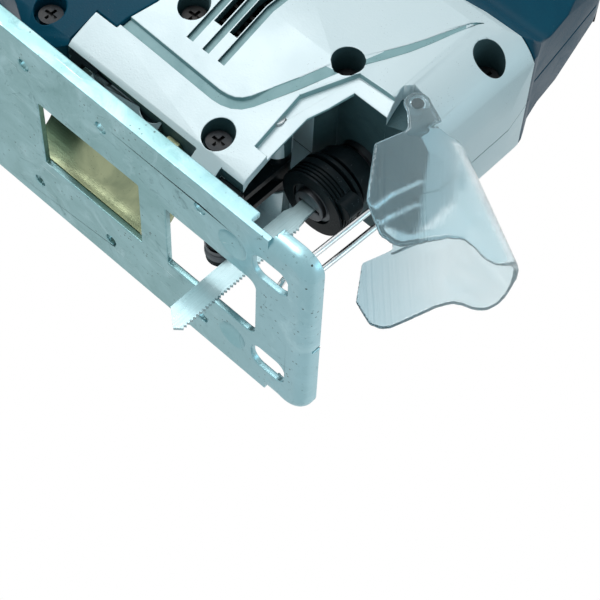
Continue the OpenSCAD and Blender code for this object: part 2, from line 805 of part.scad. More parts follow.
module stator_core() {
    bore = armature_d + 2 * air_gap;
    color(dark_steel) difference() {
        rod_x(stator_x0, motor_z, stator_d, stator_len);
        rod_x(stator_x0 - 1, motor_z, bore, stator_len + 2);
        // Winding windows above and below the poles
        for (s = [-1, 1]) translate([stator_x0 - 1, 0, motor_z]) rotate([s * 90, 0, 0])
            translate([0, -9, bore / 2 - 1.5]) cube([stator_len + 2, 18, 6.5]);
    }
}

module field_windings() {
    bore = armature_d + 2 * air_gap;
    color(copper) for (s = [-1, 1])
        translate([stator_x0 - 6, 0, motor_z]) rotate([s * 90, 0, 0])
            translate([0, -8, bore / 2 - 0.1]) cube([stator_len + 12, 16, 4.6]);
}

module brush_holders() {
    color(bronze) for (s = [-1, 1]) difference() {
        box([commutator_x + 1, s < 0 ? -brush_y : commutator_d / 2 + 1.5, motor_z - 5],
            [commutator_x + commutator_len - 1, s < 0 ? -commutator_d / 2 - 1.5 : brush_y, motor_z + 5]);
        box([commutator_x + 3, s < 0 ? -far : 0, motor_z - 3.2],
            [commutator_x + commutator_len - 3, s < 0 ? 0 : far, motor_z + 3.2]);
    }
}

module carbon_brushes() {
    color(rubber) for (s = [-1, 1]) difference() {
        box([commutator_x + 3.2, s < 0 ? -22 : commutator_d / 2 - 3, motor_z - 3],
            [commutator_x + commutator_len - 3.2, s < 0 ? -commutator_d / 2 + 3 : 22, motor_z + 3]);
        rod_x(commutator_x - 1, motor_z, commutator_d + 0.6, commutator_len + 2);
    }
}

module ball_bearing(x) {
    difference() {
        rod_x(x, motor_z, bearing_d, bearing_w);
        rod_x(x - 1, motor_z, shaft_d + 2 * fit, bearing_w + 2);
        // Dished faces between the two rings
        for (dx = [-0.01, bearing_w - 0.49]) difference() {
            rod_x(x + dx, motor_z, bearing_d - 5, 0.5);
            rod_x(x + dx - 1, motor_z, shaft_d + 4, 3);
        }
    }
}
module rear_bearing() { color(steel) ball_bearing(rear_bearing_x); }
module front_bearing() { color(steel) ball_bearing(front_bearing_x); }

module armature_shaft() {
    color(steel) {
        rod_x(rear_bearing_x - 2, motor_z, shaft_d, front_bearing_x + bearing_w + 1 - rear_bearing_x + 2);
        rod_x(front_bearing_x + bearing_w + 1, motor_z, 4.4, gear_x + gear_t + 1
            - front_bearing_x - bearing_w - 1);
    }
}

module armature_core() {
    slots = 12;
    color(dark_steel) difference() {
        rod_x(armature_x0 + 1, motor_z, armature_d, armature_len - 2);
        rod_x(armature_x0, motor_z, shaft_d, armature_len);
        for (i = [0:slots - 1]) translate([armature_x0, 0, motor_z]) rotate([i * 360 / slots, 0, 0])
            translate([0, -0.9, armature_d / 2 - 5]) cube([armature_len, 1.8, 6]);
    }
}

module armature_windings() {
    color(copper) for (x = [armature_x0 - 7, armature_x0 + armature_len - 1]) difference() {
        rod_x(x, motor_z, armature_d - 4, 8);
        rod_x(x - 1, motor_z, shaft_d, 10);
    }
}

module commutator() {
    bars = 24;
    color(copper) difference() {
        rod_x(commutator_x, motor_z, commutator_d, commutator_len);
        rod_x(commutator_x - 1, motor_z, shaft_d, commutator_len + 2);
        for (i = [0:bars - 1]) translate([commutator_x - 1, 0, motor_z]) rotate([i * 360 / bars, 0, 0])
            translate([0, -0.25, commutator_d / 2 - 0.8]) cube([commutator_len + 2, 0.5, 2]);
    }
}

module fan() {
    color(black) difference() {
        union() {
            rod_x(fan_x, motor_z, fan_d, 1.8);
            rod_x(fan_x, motor_z, shaft_d + 8, fan_len);
            for (i = [0:fan_blades - 1]) translate([fan_x, 0, motor_z]) rotate([i * 360 / fan_blades, 0, 0])
                translate([0, -0.8, fan_d / 4]) cube([fan_len - 2, 1.6, fan_d / 4 - 0.5]);
        }
        rod_x(fan_x - 1, motor_z, shaft_d, fan_len + 2);
    }
}

// ---------------------------------------------------------------- gears

gear_x = -22;
gear_ratio = pinion_teeth / gear_teeth;

// Spur gear outline with slim straight-flanked teeth; one gap or one tooth points to -Y
function tooth_angles(n, i, first) = first + i * 360 / n;
function gear_points(n, m, first) =
    let (r = n * m / 2, p = 360 / n, add = 0.85 * m, ded = 1.2 * m)
    [for (i = [0:n - 1]) let (a = tooth_angles(n, i, first))
        for (q = [[-0.29, -ded], [-0.2, 0], [-0.09, add], [0.09, add], [0.2, 0], [0.29, -ded]])
            [(r + q[1]) * cos(a + q[0] * p), (r + q[1]) * sin(a + q[0] * p)]];

module spur(n, first, x, z, t, bore) {
    difference() {
        translate([x, 0, z]) rotate([90, 0, 90]) linear_extrude(t)
            polygon(gear_points(n, gear_module, first));
        rod_x(x - 1, z, bore, t + 2);
    }
}

gear_shaft_d = 8;
crank_r = stroke / 2;
crank_end = -7.1;                      // just clear of the yoke

module pinion() {
    color(steel) spur(pinion_teeth, 90, gear_x - 1, motor_z, gear_t + 2, 4.4);
}

module drive_gear() {
    color(dark_steel) difference() {
        spur(gear_teeth, -90 + 180 / gear_teeth, gear_x, gear_z, gear_t, gear_shaft_d + 2 * fit);
        for (a = [60, 180, 300]) translate([gear_x - 1, 0, gear_z]) rotate([a, 0, 0])
            translate([0, 0, 11.5]) rotate([0, 90, 0]) cylinder(d = 5, h = gear_t + 2);
        rod_x(gear_x + gear_t - 4, gear_z + crank_r, crank_pin_d - 2, 5);
    }
}

module crank_pin() {
    color(steel) {
        rod_x(gear_x + gear_t - 4, gear_z + crank_r, crank_pin_d - 2, 4);
        rod_x(gear_x + gear_t, gear_z + crank_r, crank_pin_d, crank_end - gear_x - gear_t);
    }
}

module balance_weight() {
    color(bronze) difference() {
        rod_x(gear_x + gear_t, gear_z, 30, 4);
        box([-far, -far, gear_z - 6], [far, far, far]);
    }
}

module gearbox_plate() {
    color(alloy) difference() {
        body_solid(wall + 0.2) intersection() {
            slab([[-33.5, 44], [-27, 44], [-27, 101], [-33.5, 98]]);
            slab(cover_cavity);
        }
        rod_x(front_bearing_x - 1, motor_z, bearing_d, bearing_w + 1);
        rod_x(-40, motor_z, shaft_d + 4, 20);
        rod_x(-40, gear_z, gear_shaft_d, 20);
        for (s = [-1, 1], z = [52, 94]) rod_x(-40, z, 3.4, 20, s * 17);
    }
}

module gear_shaft() {
    color(steel) {
        rod_x(-33, gear_z, gear_shaft_d, gear_x + gear_t - 1.5 + 33);
        rod_x(-26.8, gear_z, gear_shaft_d + 5, gear_x - 0.3 + 26.8);
    }
}

// ---------------------------------------------------------------- plunger and blade clamp

rod_bottom = 51.5;
rod_top = upper_bush_z + upper_bush_h + stroke + 2;
yoke_z = gear_z + crank_r;
yoke_hh = crank_pin_d / 2 + 2.3;
clamp_body_d = 15;
clamp_body_z = 38.4;
sleeve_z0 = 39.6;
sleeve_z1 = 50.2;

module plunger_rod() {
    color(steel) rod_z(0, 0, rod_d - 2 * fit, rod_bottom, rod_top);
}

module bush(z, h) {
    difference() {
        rod_z(0, 0, bush_d, z, z + h);
        rod_z(0, 0, rod_d, z - 1, z + h + 1);
    }
}
module lower_bush() { color(bronze) bush(lower_bush_z, lower_bush_h); }
module upper_bush() { color(bronze) bush(upper_bush_z, upper_bush_h); }

module yoke() {
    slot_half = crank_r + crank_pin_d / 2 + 0.4;
    color(dark_steel) difference() {
        box([-6.6, -slot_half - 3, yoke_z - yoke_hh], [6.6, slot_half + 3, yoke_z + yoke_hh]);
        box([-far, -slot_half, yoke_z - crank_pin_d / 2 - 0.15],
            [-5.9, slot_half, yoke_z + crank_pin_d / 2 + 0.15]);
        box([-far, -slot_half, yoke_z - crank_pin_d / 2 - 0.15],
            [-rod_d / 2 - 0.3, slot_half, yoke_z + crank_pin_d / 2 + 0.15]);
        rod_z(0, 0, rod_d - 2 * fit, 0, far);
    }
}

module clamp_body() {
    color(dark_steel) difference() {
        union() {
            rod_z(0, 0, clamp_body_d, sleeve_z0 + 0.8, rod_bottom);
            rod_z(0, 0, clamp_body_d - 3.4, clamp_body_z, sleeve_z0 + 2);
        }
        box([-blade_w / 2 - 0.3, -blade_t / 2 - 0.1, 0], [blade_w / 2 + 0.3, blade_t / 2 + 0.1, 49.2]);
    }
}

module clamp_collar() {
    color(black) difference() {
        union() {
            rod_z(0, 0, 21, 52, 56);
            translate([0, 0, 56]) cylinder(d1 = 21, d2 = 17, h = 3.4);
            rod_z(0, 0, 16, 50.6, 52);
        }
        rod_z(0, 0, rod_d - 2 * fit, rod_bottom, far);
        rod_z(0, 0, clamp_body_d, 0, rod_bottom);
    }
}

module clamp_sleeve() {
    ring_pitch = 1.35;
    ring_w = 0.65;
    ring_z0 = sleeve_z0 + 0.7;
    gap_z = sleeve_z1 - 2.7;
    lug_turn = -27;
    lug_reach = 12.6;
    lug_hw = 3.4;
    lug_z0 = sleeve_z0 + 1.1;
    color(black) difference() {
        union() {
            difference() {
                rod_z(0, 0, sleeve_d, sleeve_z0, sleeve_z1);
                for (i = [0:sleeve_rings - 1]) difference() {
                    rod_z(0, 0, sleeve_d + 1, ring_z0 + i * ring_pitch, ring_z0 + i * ring_pitch + ring_w);
                    rod_z(0, 0, sleeve_d - 1.6, 0, far);
                }
                // Deep gap under the upper rim
                difference() {
                    rod_z(0, 0, sleeve_d + 1, gap_z, gap_z + 1.3);
                    rod_z(0, 0, sleeve_d - 5, 0, far);
                }
            }
            // Thumb lug
            rotate([0, 0, lug_turn]) {
                box([lug_reach - 4.1, -lug_hw, lug_z0], [lug_reach, lug_hw, gap_z - 0.4]);
                rod_z(lug_reach, 0, 2 * lug_hw, lug_z0, gap_z - 0.4);
            }
        }
        rod_z(0, 0, clamp_body_d + 2 * fit, 0, far);
    }
}

blade_shank_top = 48.8;
module saw_blade() {
    back = -blade_w / 2;
    teeth_top = 33;
    tip_z = -blade_below;
    depth = 0.75;
    count = floor((teeth_top + blade_below - 3.5) / tooth_pitch);
    teeth = [for (i = [0:count - 1]) let (z = tip_z + 2 + i * tooth_pitch)
        each [[blade_w / 2, z], [blade_w / 2 - depth, z + 0.62 * tooth_pitch]]];
    color(steel) slab(concat(
        [[back, tip_z + 4.6], [blade_w / 2 - 2.2, tip_z]], teeth,
        [[blade_w / 2 - 1, teeth_top], [2.6, 34], [2.6, 41], [blade_w / 2, 42.5], [blade_w / 2, 45.5],
         [2.6, 47], [2.6, blade_shank_top], [-2.9, blade_shank_top], [-2.9, 47], [back, 45.5],
         [back, 42.5], [-2.9, 41], [-2.9, 34.8], [back, 31.4]]
    ), blade_t / 2);
}

// ---------------------------------------------------------------- roller guide

roller_x = -blade_w / 2 - 0.3 - roller_d / 2;
roller_z = 9.5;
fork_gap = roller_w / 2 + 0.4;
fork_t = 2.4;
axle_d = 3;

module fork_cheek(y0) {
    translate([0, y0 + fork_t, 0]) rotate([90, 0, 0]) linear_extrude(fork_t) {
        translate([roller_x, roller_z]) circle(r = 4.6);
        translate([fork_pin_x, fork_pin_z]) circle(r = fork_pin_d / 2 + 2.2);
        polygon([
            [roller_x - 4.5, roller_z - 1], [roller_x + 3.2, roller_z + 3.2], [-13.6, 15.4],
            [-13.6, fork_pin_z], [fork_pin_x - 4.1, fork_pin_z - 2.4], [fork_pin_x - 2.4, 22]
        ]);
    }
}

module roller_fork() {
    color(black) difference() {
        union() {
            for (y0 = [-fork_gap - fork_t, fork_gap]) fork_cheek(y0);
            box([fork_pin_x - 3, -fork_gap - 0.1, 24], [fork_pin_x + 1, fork_gap + 0.1, 40]);
            rod_y(fork_pin_x, fork_pin_z, fork_pin_d + 4, -8.7, 8.7);
        }
        rod_y(fork_pin_x, fork_pin_z, fork_pin_d + 2 * fit, -20, 20);
        rod_y(roller_x, roller_z, axle_d, -20, 20);
    }
}

module fork_pin() {
    reach = flank(fork_pin_z) - 1.5;
    color(steel) rod_y(fork_pin_x, fork_pin_z, fork_pin_d, -reach, reach);
}

module roller_axle() {
    reach = fork_gap + fork_t;
    color(steel) rod_y(roller_x, roller_z, axle_d, -reach, reach);
}

module support_roller() {
    color(steel) difference() {
        rod_y(roller_x, roller_z, roller_d, -roller_w / 2, roller_w / 2);
        rod_y(roller_x, roller_z, axle_d + 2 * fit, -10, 10);
        // Groove that the back of the blade runs in
        translate([roller_x, 0, roller_z]) rotate([90, 0, 0]) rotate_extrude()
            translate([roller_d / 2, 0]) polygon([[0.1, -1.1], [-0.6, -0.6], [-0.6, 0.6], [0.1, 1.1]]);
    }
}

// ---------------------------------------------------------------- guard and hood

wire_hy = wire_gap / 2;
wire_foot = [15.6, 14];                // centre of the round end of the wire, in (x, z)
wire_lean = 2.6;                       // forward lean of the legs
wire_leg = 42;                         // length of the straight legs
wire_bend = 14;                        // further lean above the bend
wire_end = 15;                         // length above the bend
wire_knot = 0.04;                      // how much the wire swells where its stretches meet

// Places its children at the foot of the guard, leaning with the legs
module wire_frame() {
    translate([wire_foot[0], 0, wire_foot[1]]) rotate([0, wire_lean, 0]) children();
}

// Places its children at the bend of one leg
module wire_upper(s) {
    wire_frame() translate([0, s * wire_hy, wire_leg]) rotate([0, wire_bend, 0]) children();
}

module wire_leg_hole(s) {
    wire_upper(s) cylinder(d = wire_d, h = wire_end);
}

module wire_guard() {
    overlap = 0.3;
    color(steel) {
        wire_frame() rotate([90, 0, 90]) rotate([0, 0, 180]) rotate_extrude(angle = 180)
            translate([wire_hy, 0]) circle(d = wire_d, $fn = 32);
        for (s = [-1, 1]) {
            wire_frame() translate([0, s * wire_hy, 0]) sphere(d = wire_d + wire_knot, $fn = 32);
            wire_frame() translate([0, s * wire_hy, overlap])
                cylinder(d = wire_d, h = wire_leg - 2 * overlap, $fn = 32);
            wire_upper(s) sphere(d = wire_d + wire_knot, $fn = 32);
            wire_upper(s) translate([0, 0, overlap])
                cylinder(d = wire_d, h = wire_end - overlap, $fn = 32);
        }
    }
}

hood_side = 33.2;                      // half width at the top, outside the covers
hood_top_z = 64;
hood_low_z = 19;
hood_corner = 24.7;
hood_tip_r = 12.8;
hood_tip_x = 13.4;

module hood_core(inset) {
    corner_y = hood_side - hood_corner;
    back_x = -24;
    low_hw = 20.5;
    hull() {
        translate([0, 0, hood_top_z]) linear_extrude(0.01) {
            for (s = [-1, 1]) translate([2, s * corner_y]) circle(r = hood_corner - inset, $fn = 72);
            translate([back_x, -hood_side + inset]) square([20, 2 * (hood_side - inset)]);
        }
        translate([0, 0, hood_low_z]) linear_extrude(0.01) {
            translate([hood_tip_x, 0]) circle(r = hood_tip_r - inset, $fn = 48);
            translate([back_x, inset - low_hw]) square([2, 2 * (low_hw - inset)]);
        }
    }
}

hood_profile = [
    [-5.5, 62.7], [-14.7, 47.8], [-15.2, 37.5], [-13.2, 34], [-10.5, 32.2], [-4.2, 31.8],
    [5.5, 31.6], [9.6, 30.2], [12, 27], [13.6, 23.6], [16.4, 21.4], [20.5, 21], [24.8, 22.4],
    [40, 24], [40, 60], [27, 61.3], [19, 61.8], [16.4, 64], [5.2, 63.6]
];

module chip_hood_closed() {
    ear_r = 4.3;
    difference() {
        union() {
            intersection() {
                difference() {
                    hood_core(0);
                    hood_core(hood_t);
                }
                slab(hood_profile);
            }
            for (s = [-1, 1]) {
                y0 = s < 0 ? -hood_side : hood_side - hood_t;
                rod_y(hood_pin_x, hood_pin_z, 2 * ear_r, y0, y0 + hood_t);
                translate([0, y0 + hood_t, 0]) rotate([90, 0, 0]) linear_extrude(hood_t) polygon([
                    [5.2, 62], [16.6, 62], [hood_pin_x + ear_r - 0.2, hood_pin_z - 1],
                    [hood_pin_x - ear_r + 0.2, hood_pin_z - 1]
                ]);
            }
        }
        rod_y(hood_pin_x, hood_pin_z, hood_pin_d + 2 * fit, -far, far);
    }
}

module chip_hood() {
    color(clear) translate([hood_pin_x, 0, hood_pin_z]) rotate([0, -hood_open, 0])
        translate([-hood_pin_x, 0, -hood_pin_z]) chip_hood_closed();
}

module hood_pins() {
    pin_end = hood_side - 0.4;
    color(clear) for (s = [-1, 1])
        rod_y(hood_pin_x, hood_pin_z, hood_pin_d, s < 0 ? -pin_end : pad_y, s < 0 ? -pad_y : pin_end);
}

// ---------------------------------------------------------------- controls

trigger_x0 = -56;
trigger_x1 = -26;
module trigger_slot() {
    box([trigger_x0 - 0.4, -trigger_w / 2 - 0.4, 140], [trigger_x1 + 0.4, trigger_w / 2 + 0.4, 160]);
}

module trigger() {
    color(black) slab([[trigger_x0, 159], [trigger_x0, 147], [-52, 142.6], [-46, 143.8],
        [-38, 144.2], [-30, 142],
              [trigger_x1, 144], [trigger_x1, 159]], trigger_w / 2);
}

switch_x0 = -64;
switch_len = 46;
switch_hw = 8;
switch_z0 = rise(169.5);
module switch_module() {
    color(black) difference() {
        box([switch_x0, -switch_hw, switch_z0], [switch_x0 + switch_len, switch_hw, switch_z0 + 13]);
        rod_y(switch_x0 + 3, switch_z0 + 3, 3, -20, 20);
        rod_y(switch_x0 + switch_len - 3, switch_z0 + 3, 3, -20, 20);
    }
}

lock_button_x = -50;
lock_button_z = rise(163);
module lock_button_bore() {
    rod_y(lock_button_x, lock_button_z, lock_button_d + 0.5, 5, far);
}

module lock_button() {
    color(black) union() {
        rod_y(lock_button_x, lock_button_z, lock_button_d, 11.5, handle_hw + 3);
        rod_y(lock_button_x, lock_button_z, lock_button_d + 3, 9.6, 11.5);
    }
}

wheel_x = -4.5;
wheel_z = rise(176.5);
wheel_w = 6;
wheel_axle_d = 3;
wheel_reach = handle_hw - 2;             // half length of the axle, let into both shells
module wheel_slot() {
    rod_y(wheel_x, wheel_z, speed_wheel_d + 1, -wheel_w / 2 - 0.4, wheel_w / 2 + 0.4);
    rod_y(wheel_x, wheel_z, wheel_axle_d, -wheel_reach, wheel_reach);
}

module speed_wheel() {
    notches = 20;
    color(black) difference() {
        rod_y(wheel_x, wheel_z, speed_wheel_d, -wheel_w / 2, wheel_w / 2);
        rod_y(wheel_x, wheel_z, wheel_axle_d + 2 * fit, -10, 10);
        for (i = [0:notches - 1]) translate([wheel_x, 0, wheel_z]) rotate([0, i * 360 / notches, 0])
            translate([speed_wheel_d / 2, 0, 0]) cube([1.4, 20, 1.4], center = true);
    }
}

module wheel_axle() {
    color(steel) rod_y(wheel_x, wheel_z, wheel_axle_d, -wheel_reach, wheel_reach);
}

selector_x = -30;
selector_z = 42;
module selector_bore() {
    rod_y(selector_x, selector_z, 8 + 2 * fit, flank(selector_z) - 8, far);
}

module orbit_selector() {
    y0 = flank(selector_z + 8) + 0.4;
    color(black) {
        rod_y(selector_x, selector_z, 8, flank(selector_z) - 1.4, y0);
        rod_y(selector_x, selector_z, 16, y0, y0 + 3.5);
        box([selector_x - 3, y0 + 1.8, selector_z - 5], [selector_x + 3, y0 + 6, selector_z + 12]);
    }
}

slider_x0 = -86;
slider_len = 12.5;
slider_travel = 4;
slider_neck = 4.4;
slider_y = flank_y - 0.8;              // outer face of the slider
slider_neck_x = slider_x0 + 1.6;
slider_neck_y = 13;
slider_tab_y = 15.95;                  // inner face of the slider, clear of the saddle
slider_neck_z = 25.6;
module blower_track() {
    gap = 0.4;
    box(
        [slider_neck_x - gap, -16.5, keel_z],
        [slider_neck_x + slider_neck + slider_travel + gap, gap - slider_neck_y, slider_neck_z + gap]
    );
}

module blower_slider() {
    top = cover_bottom_z - 0.3;
    z0 = top - 2.4;
    x1 = slider_neck_x + slider_neck;
    color(black) difference() {
        union() {
            box([slider_x0, -slider_y, z0], [slider_x0 + slider_len, -slider_tab_y, top]);
            box([slider_neck_x, -16.1, z0], [x1, -slider_neck_y, slider_neck_z]);
        }
        // Chamfer that clears the plate at full bevel
        rotate([-45, 0, 0]) box([-far, -far, -far], [far, far, plate_t + 0.5]);
    }
}

gland_x = 9 - housing_rear;
gland_z = 126;
gland_tilt = 25;
module gland_bore() {
    translate([gland_x, 0, gland_z]) rotate([0, -90 + gland_tilt, 0])
        translate([0, 0, -12]) cylinder(d = gland_d, h = 60);
}

module cord_gland() {
    color(rubber) translate([gland_x, 0, gland_z]) rotate([0, -90 + gland_tilt, 0]) difference() {
        union() {
            translate([0, 0, -8]) cylinder(d = gland_d, h = 14);
            translate([0, 0, 6]) cylinder(d1 = gland_d, d2 = gland_d - 4, h = 16);
            for (i = [0:2]) translate([0, 0, 8 + 4.5 * i]) cylinder(d = gland_d - 0.6 - i, h = 2);
        }
        translate([0, 0, -9]) cylinder(d = cord_d, h = 40);
    }
}

// ---------------------------------------------------------------- output

base_plate();
cradle_arch();
cradle_seat();
clamp_bolt();
clamp_washer();
stop_bolts();
stop_screws();
guide_bracket();
gear_cover_right();
gear_cover_left();
motor_housing_right();
motor_housing_left();
grip_pad();
cover_screws();
housing_screws();
vent_mesh();
stator_core();
field_windings();
brush_holders();
carbon_brushes();
rear_bearing();
front_bearing();
gearbox_plate();
gear_shaft();
lower_bush();
upper_bush();
armature_shaft();
armature_core();
armature_windings();
commutator();
fan();
pinion();
drive_gear();
crank_pin();
balance_weight();
plunger_rod();
yoke();
clamp_body();
clamp_collar();
saw_blade();
clamp_sleeve();
roller_fork();
fork_pin();
roller_axle();
support_roller();
wire_guard();
chip_hood();
hood_pins();
trigger();
lock_button();
speed_wheel();
wheel_axle();
switch_module();
orbit_selector();
blower_slider();
cord_gland();
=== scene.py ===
# %% [markdown]
# # A jigsaw seen from under its nose
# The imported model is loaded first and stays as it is, because its bodies and joints are
# already right. Everything below dresses that model: edges that a mould or a press would
# round get rounded, each finish is built from nodes, and the stage is a pale floor with
# soft lamps. All lengths are in metres, with X along the cut, Y to the left and Z up.

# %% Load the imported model
import json
import math

import bmesh
import bpy
from mathutils import Matrix, Vector


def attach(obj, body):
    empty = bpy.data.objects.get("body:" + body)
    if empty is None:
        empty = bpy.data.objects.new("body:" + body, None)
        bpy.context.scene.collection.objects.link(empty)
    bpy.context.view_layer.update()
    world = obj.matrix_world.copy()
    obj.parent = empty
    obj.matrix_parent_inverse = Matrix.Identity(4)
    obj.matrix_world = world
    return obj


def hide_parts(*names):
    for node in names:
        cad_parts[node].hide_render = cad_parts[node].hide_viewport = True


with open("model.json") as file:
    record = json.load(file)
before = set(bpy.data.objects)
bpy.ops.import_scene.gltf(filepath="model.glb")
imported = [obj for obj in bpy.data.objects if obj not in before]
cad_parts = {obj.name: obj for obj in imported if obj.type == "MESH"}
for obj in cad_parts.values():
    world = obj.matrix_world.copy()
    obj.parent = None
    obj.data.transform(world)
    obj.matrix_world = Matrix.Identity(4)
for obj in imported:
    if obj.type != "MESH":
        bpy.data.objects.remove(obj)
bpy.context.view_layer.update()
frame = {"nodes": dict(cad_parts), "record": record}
NODES = frame["nodes"]
SLOT_OF = {s["node"]: s["material_slot"] for s in frame["record"]["subparts"]}
BODY_OF = {node: body for body, members in frame["record"]["behaviour"]["bodies"].items()
           for node in members}

# %% [markdown]
# ## Camera
# The tool is looked at from low on its right side, a little in front, with the camera
# rolled so that the sole runs down to the right. A long lens keeps the perspective mild.
# The three rows below are the camera's right, down and forward directions, which is the
# plainest way to write a rolled camera: Blender wants right, up and backward as columns.

# %% Place the camera
LENS_MM = 114.456
SENSOR_MM = 36
EYE = Vector((0.21882273, -0.47922437, -0.21697397))
RIGHT = Vector((0.72630956, -0.02898848, 0.68668953))
DOWN = Vector((0.59276355, 0.53248177, -0.60389581))
FORWARD = Vector((-0.3486141, 0.84591006, 0.40393017))

camera = bpy.data.objects.new("camera", bpy.data.cameras.new("camera"))
bpy.context.scene.collection.objects.link(camera)
camera.data.lens = LENS_MM
camera.data.sensor_width = SENSOR_MM
camera.data.clip_start = 0.01
turn = Matrix((RIGHT, -DOWN, -FORWARD)).transposed()
camera.matrix_world = Matrix.Translation(EYE) @ turn.to_4x4()
bpy.context.scene.camera = camera
bpy.context.scene.view_settings.view_transform = "Standard"
print("camera at", EYE)

# %% [markdown]
# ## Shader maths
# Writing `1 - mask * 0.3` is easier to read than a row of Math nodes, so one small class
# wraps an output socket and adds the Math node for each operator. Every other node comes
# from `Nodes.node`, which sets the node's own settings first and its sockets after. The
# world needs no more than that, and a `Finish` adds the patterns that a material uses.

# %% Wrap sockets and nodes
class Wire:
    """An output socket that can be used in sums."""

    def __init__(self, nodes, socket):
        self.nodes = nodes
        self.socket = socket

    def maths(self, operation, *values):
        settings = {"operation": operation}
        return self.nodes.node("ShaderNodeMath", settings, dict(enumerate(values)))

    def __add__(self, other):
        return self.maths("ADD", self, other)

    def __sub__(self, other):
        return self.maths("SUBTRACT", self, other)

    def __rsub__(self, other):
        return self.maths("SUBTRACT", other, self)

    def __mul__(self, other):
        return self.maths("MULTIPLY", self, other)

    def __lt__(self, other):
        return self.maths("LESS_THAN", self, other)


class Nodes:
    """A node tree that is emptied and then filled node by node."""

    def __init__(self, tree):
        self.tree = tree
        self.tree.nodes.clear()

    def node(self, kind, settings=None, sockets=None, output=0):
        made = self.tree.nodes.new(kind)
        for key, value in (settings or {}).items():
            setattr(made, key, value)
        for key, value in (sockets or {}).items():
            if isinstance(value, Wire):
                self.tree.links.new(value.socket, made.inputs[key])
            else:
                made.inputs[key].default_value = value
        return Wire(self, made.outputs[output]) if made.outputs else made

    def pure_white_rays(self):
        """1 for the rays of the camera, of gloss and of glass, which see white card."""
        seen = [self.node("ShaderNodeLightPath", output=ray)
                for ray in ("Is Camera Ray", "Is Glossy Ray", "Is Transmission Ray")]
        return seen[0].maths("MINIMUM", seen[0] + seen[1] + seen[2], 1.0)


class Finish(Nodes):
    """A material whose patterns lie on the place on the piece."""

    def __init__(self, name):
        self.material = bpy.data.materials.new(name)
        self.material.use_nodes = True
        super().__init__(self.material.node_tree)
        self.place = self.node("ShaderNodeTexCoord", output="Object")

    def stretched(self, scale):
        """The place on the piece, scaled by its own number along each axis."""
        return self.node("ShaderNodeMapping", None, {"Vector": self.place, "Scale": scale})

    def cloud(self, scale, detail=3.0, rough=0.5, bend=0.0, where=None):
        """Soft noise from 0 to 1."""
        sockets = {"Vector": where or self.place, "Scale": scale, "Detail": detail,
                   "Roughness": rough, "Distortion": bend}
        return self.node("ShaderNodeTexNoise", None, sockets)

    def dots(self, scale, size):
        """1 inside small round dots, whose share of their cells is `size`."""
        sockets = {"Vector": self.place, "Scale": scale, "Randomness": 1.0}
        far = self.node("ShaderNodeTexVoronoi", None, sockets, "Distance")
        return far < size

    def ramp(self, value, low, high):
        """0 below `low`, 1 above `high` and a straight line between."""
        sockets = {"Value": value, "From Min": low, "From Max": high}
        return self.node("ShaderNodeMapRange", {"clamp": True}, sockets)

    def mix(self, share, first, second):
        """A colour between two colours."""
        sockets = {0: share, 6: first, 7: second}
        return self.node("ShaderNodeMix", {"data_type": "RGBA"}, sockets, 2)

    def axis(self, index):
        """One coordinate of the place on the piece."""
        return self.node("ShaderNodeSeparateXYZ", None, {0: self.place}, index)

    def bump(self, height, depth):
        """A normal that shows `height` as relief, `depth` metres high."""
        sockets = {"Strength": 1.0, "Distance": depth, "Height": height}
        return self.node("ShaderNodeBump", None, sockets)

    def done(self, **sockets):
        """Closes the material with one Principled shader."""
        named = {key.replace("_", " "): value for key, value in sockets.items()}
        shader = self.node("ShaderNodeBsdfPrincipled", None, named)
        self.node("ShaderNodeOutputMaterial", None, {"Surface": shader})
        return self.material

# %% [markdown]
# ## Stage and light
# A power tool for a catalogue is usually shot against white card between large soft boxes.
# The card is a floor under the tool, and the world is plain white to the camera, to gloss
# and to glass, so that metal and the clear hood pick it up. Only diffuse light sees the
# dimmer world colour, which keeps the pale castings from washing out.

# %% Lay the floor
FLOOR_Z = -0.30
FLOOR_GLOW = 0.75
bpy.ops.object.select_all(action="DESELECT")
bpy.ops.mesh.primitive_plane_add(size=6, location=(0, 0, FLOOR_Z))
floor = bpy.context.active_object
floor.name = "floor"
bpy.ops.object.transform_apply(location=True)
paper = Finish("floor_paper")
grain = paper.cloud(90, detail=4)
tone = paper.mix(grain, (0.80, 0.80, 0.80, 1), (0.86, 0.86, 0.86, 1))
lit = paper.node("ShaderNodeBsdfDiffuse", None, {"Color": tone})
glow = paper.node("ShaderNodeEmission", None, {"Color": (1, 1, 1, 1), "Strength": 1.0})
card = paper.pure_white_rays() * FLOOR_GLOW
both = paper.node("ShaderNodeMixShader", None, {0: card, 1: lit, 2: glow})
paper.node("ShaderNodeOutputMaterial", None, {"Surface": both})
floor.data.materials.append(paper.material)
print("floor at", FLOOR_Z)

# %% [markdown]
# Two backgrounds are mixed by the kind of ray: white where the world is seen or mirrored,
# and a cool, dimmer one where it only lights the tool.

# %% Light the world
WORLD_TINT = (0.56, 0.80, 0.84, 1)
WORLD_STRENGTH = 0.42
world = bpy.data.worlds.new("studio")
bpy.context.scene.world = world
world.use_nodes = True
sky = Nodes(world.node_tree)
card = sky.pure_white_rays()
dim = sky.node("ShaderNodeBackground", None, {0: WORLD_TINT, 1: WORLD_STRENGTH})
white = sky.node("ShaderNodeBackground", None, {0: (1, 1, 1, 1), 1: 1.0})
both = sky.node("ShaderNodeMixShader", None, {0: card, 1: dim, 2: white})
sky.node("ShaderNodeOutputWorld", None, {0: both})
print("world strength", WORLD_STRENGTH)

# %% [markdown]
# The main soft box hangs over the tool's right side, so the covers are the brightest
# faces and the nose and the sole fall away into half shade. A smaller, bluish one in front
# of the nose draws the long streak down the clear hood, and a weak one lifts the sole.

# %% Hang the soft boxes
TOOL_MIDDLE = Vector((-0.03, 0.0, 0.06))
SKY_BLUE = (0.50, 0.80, 0.92)


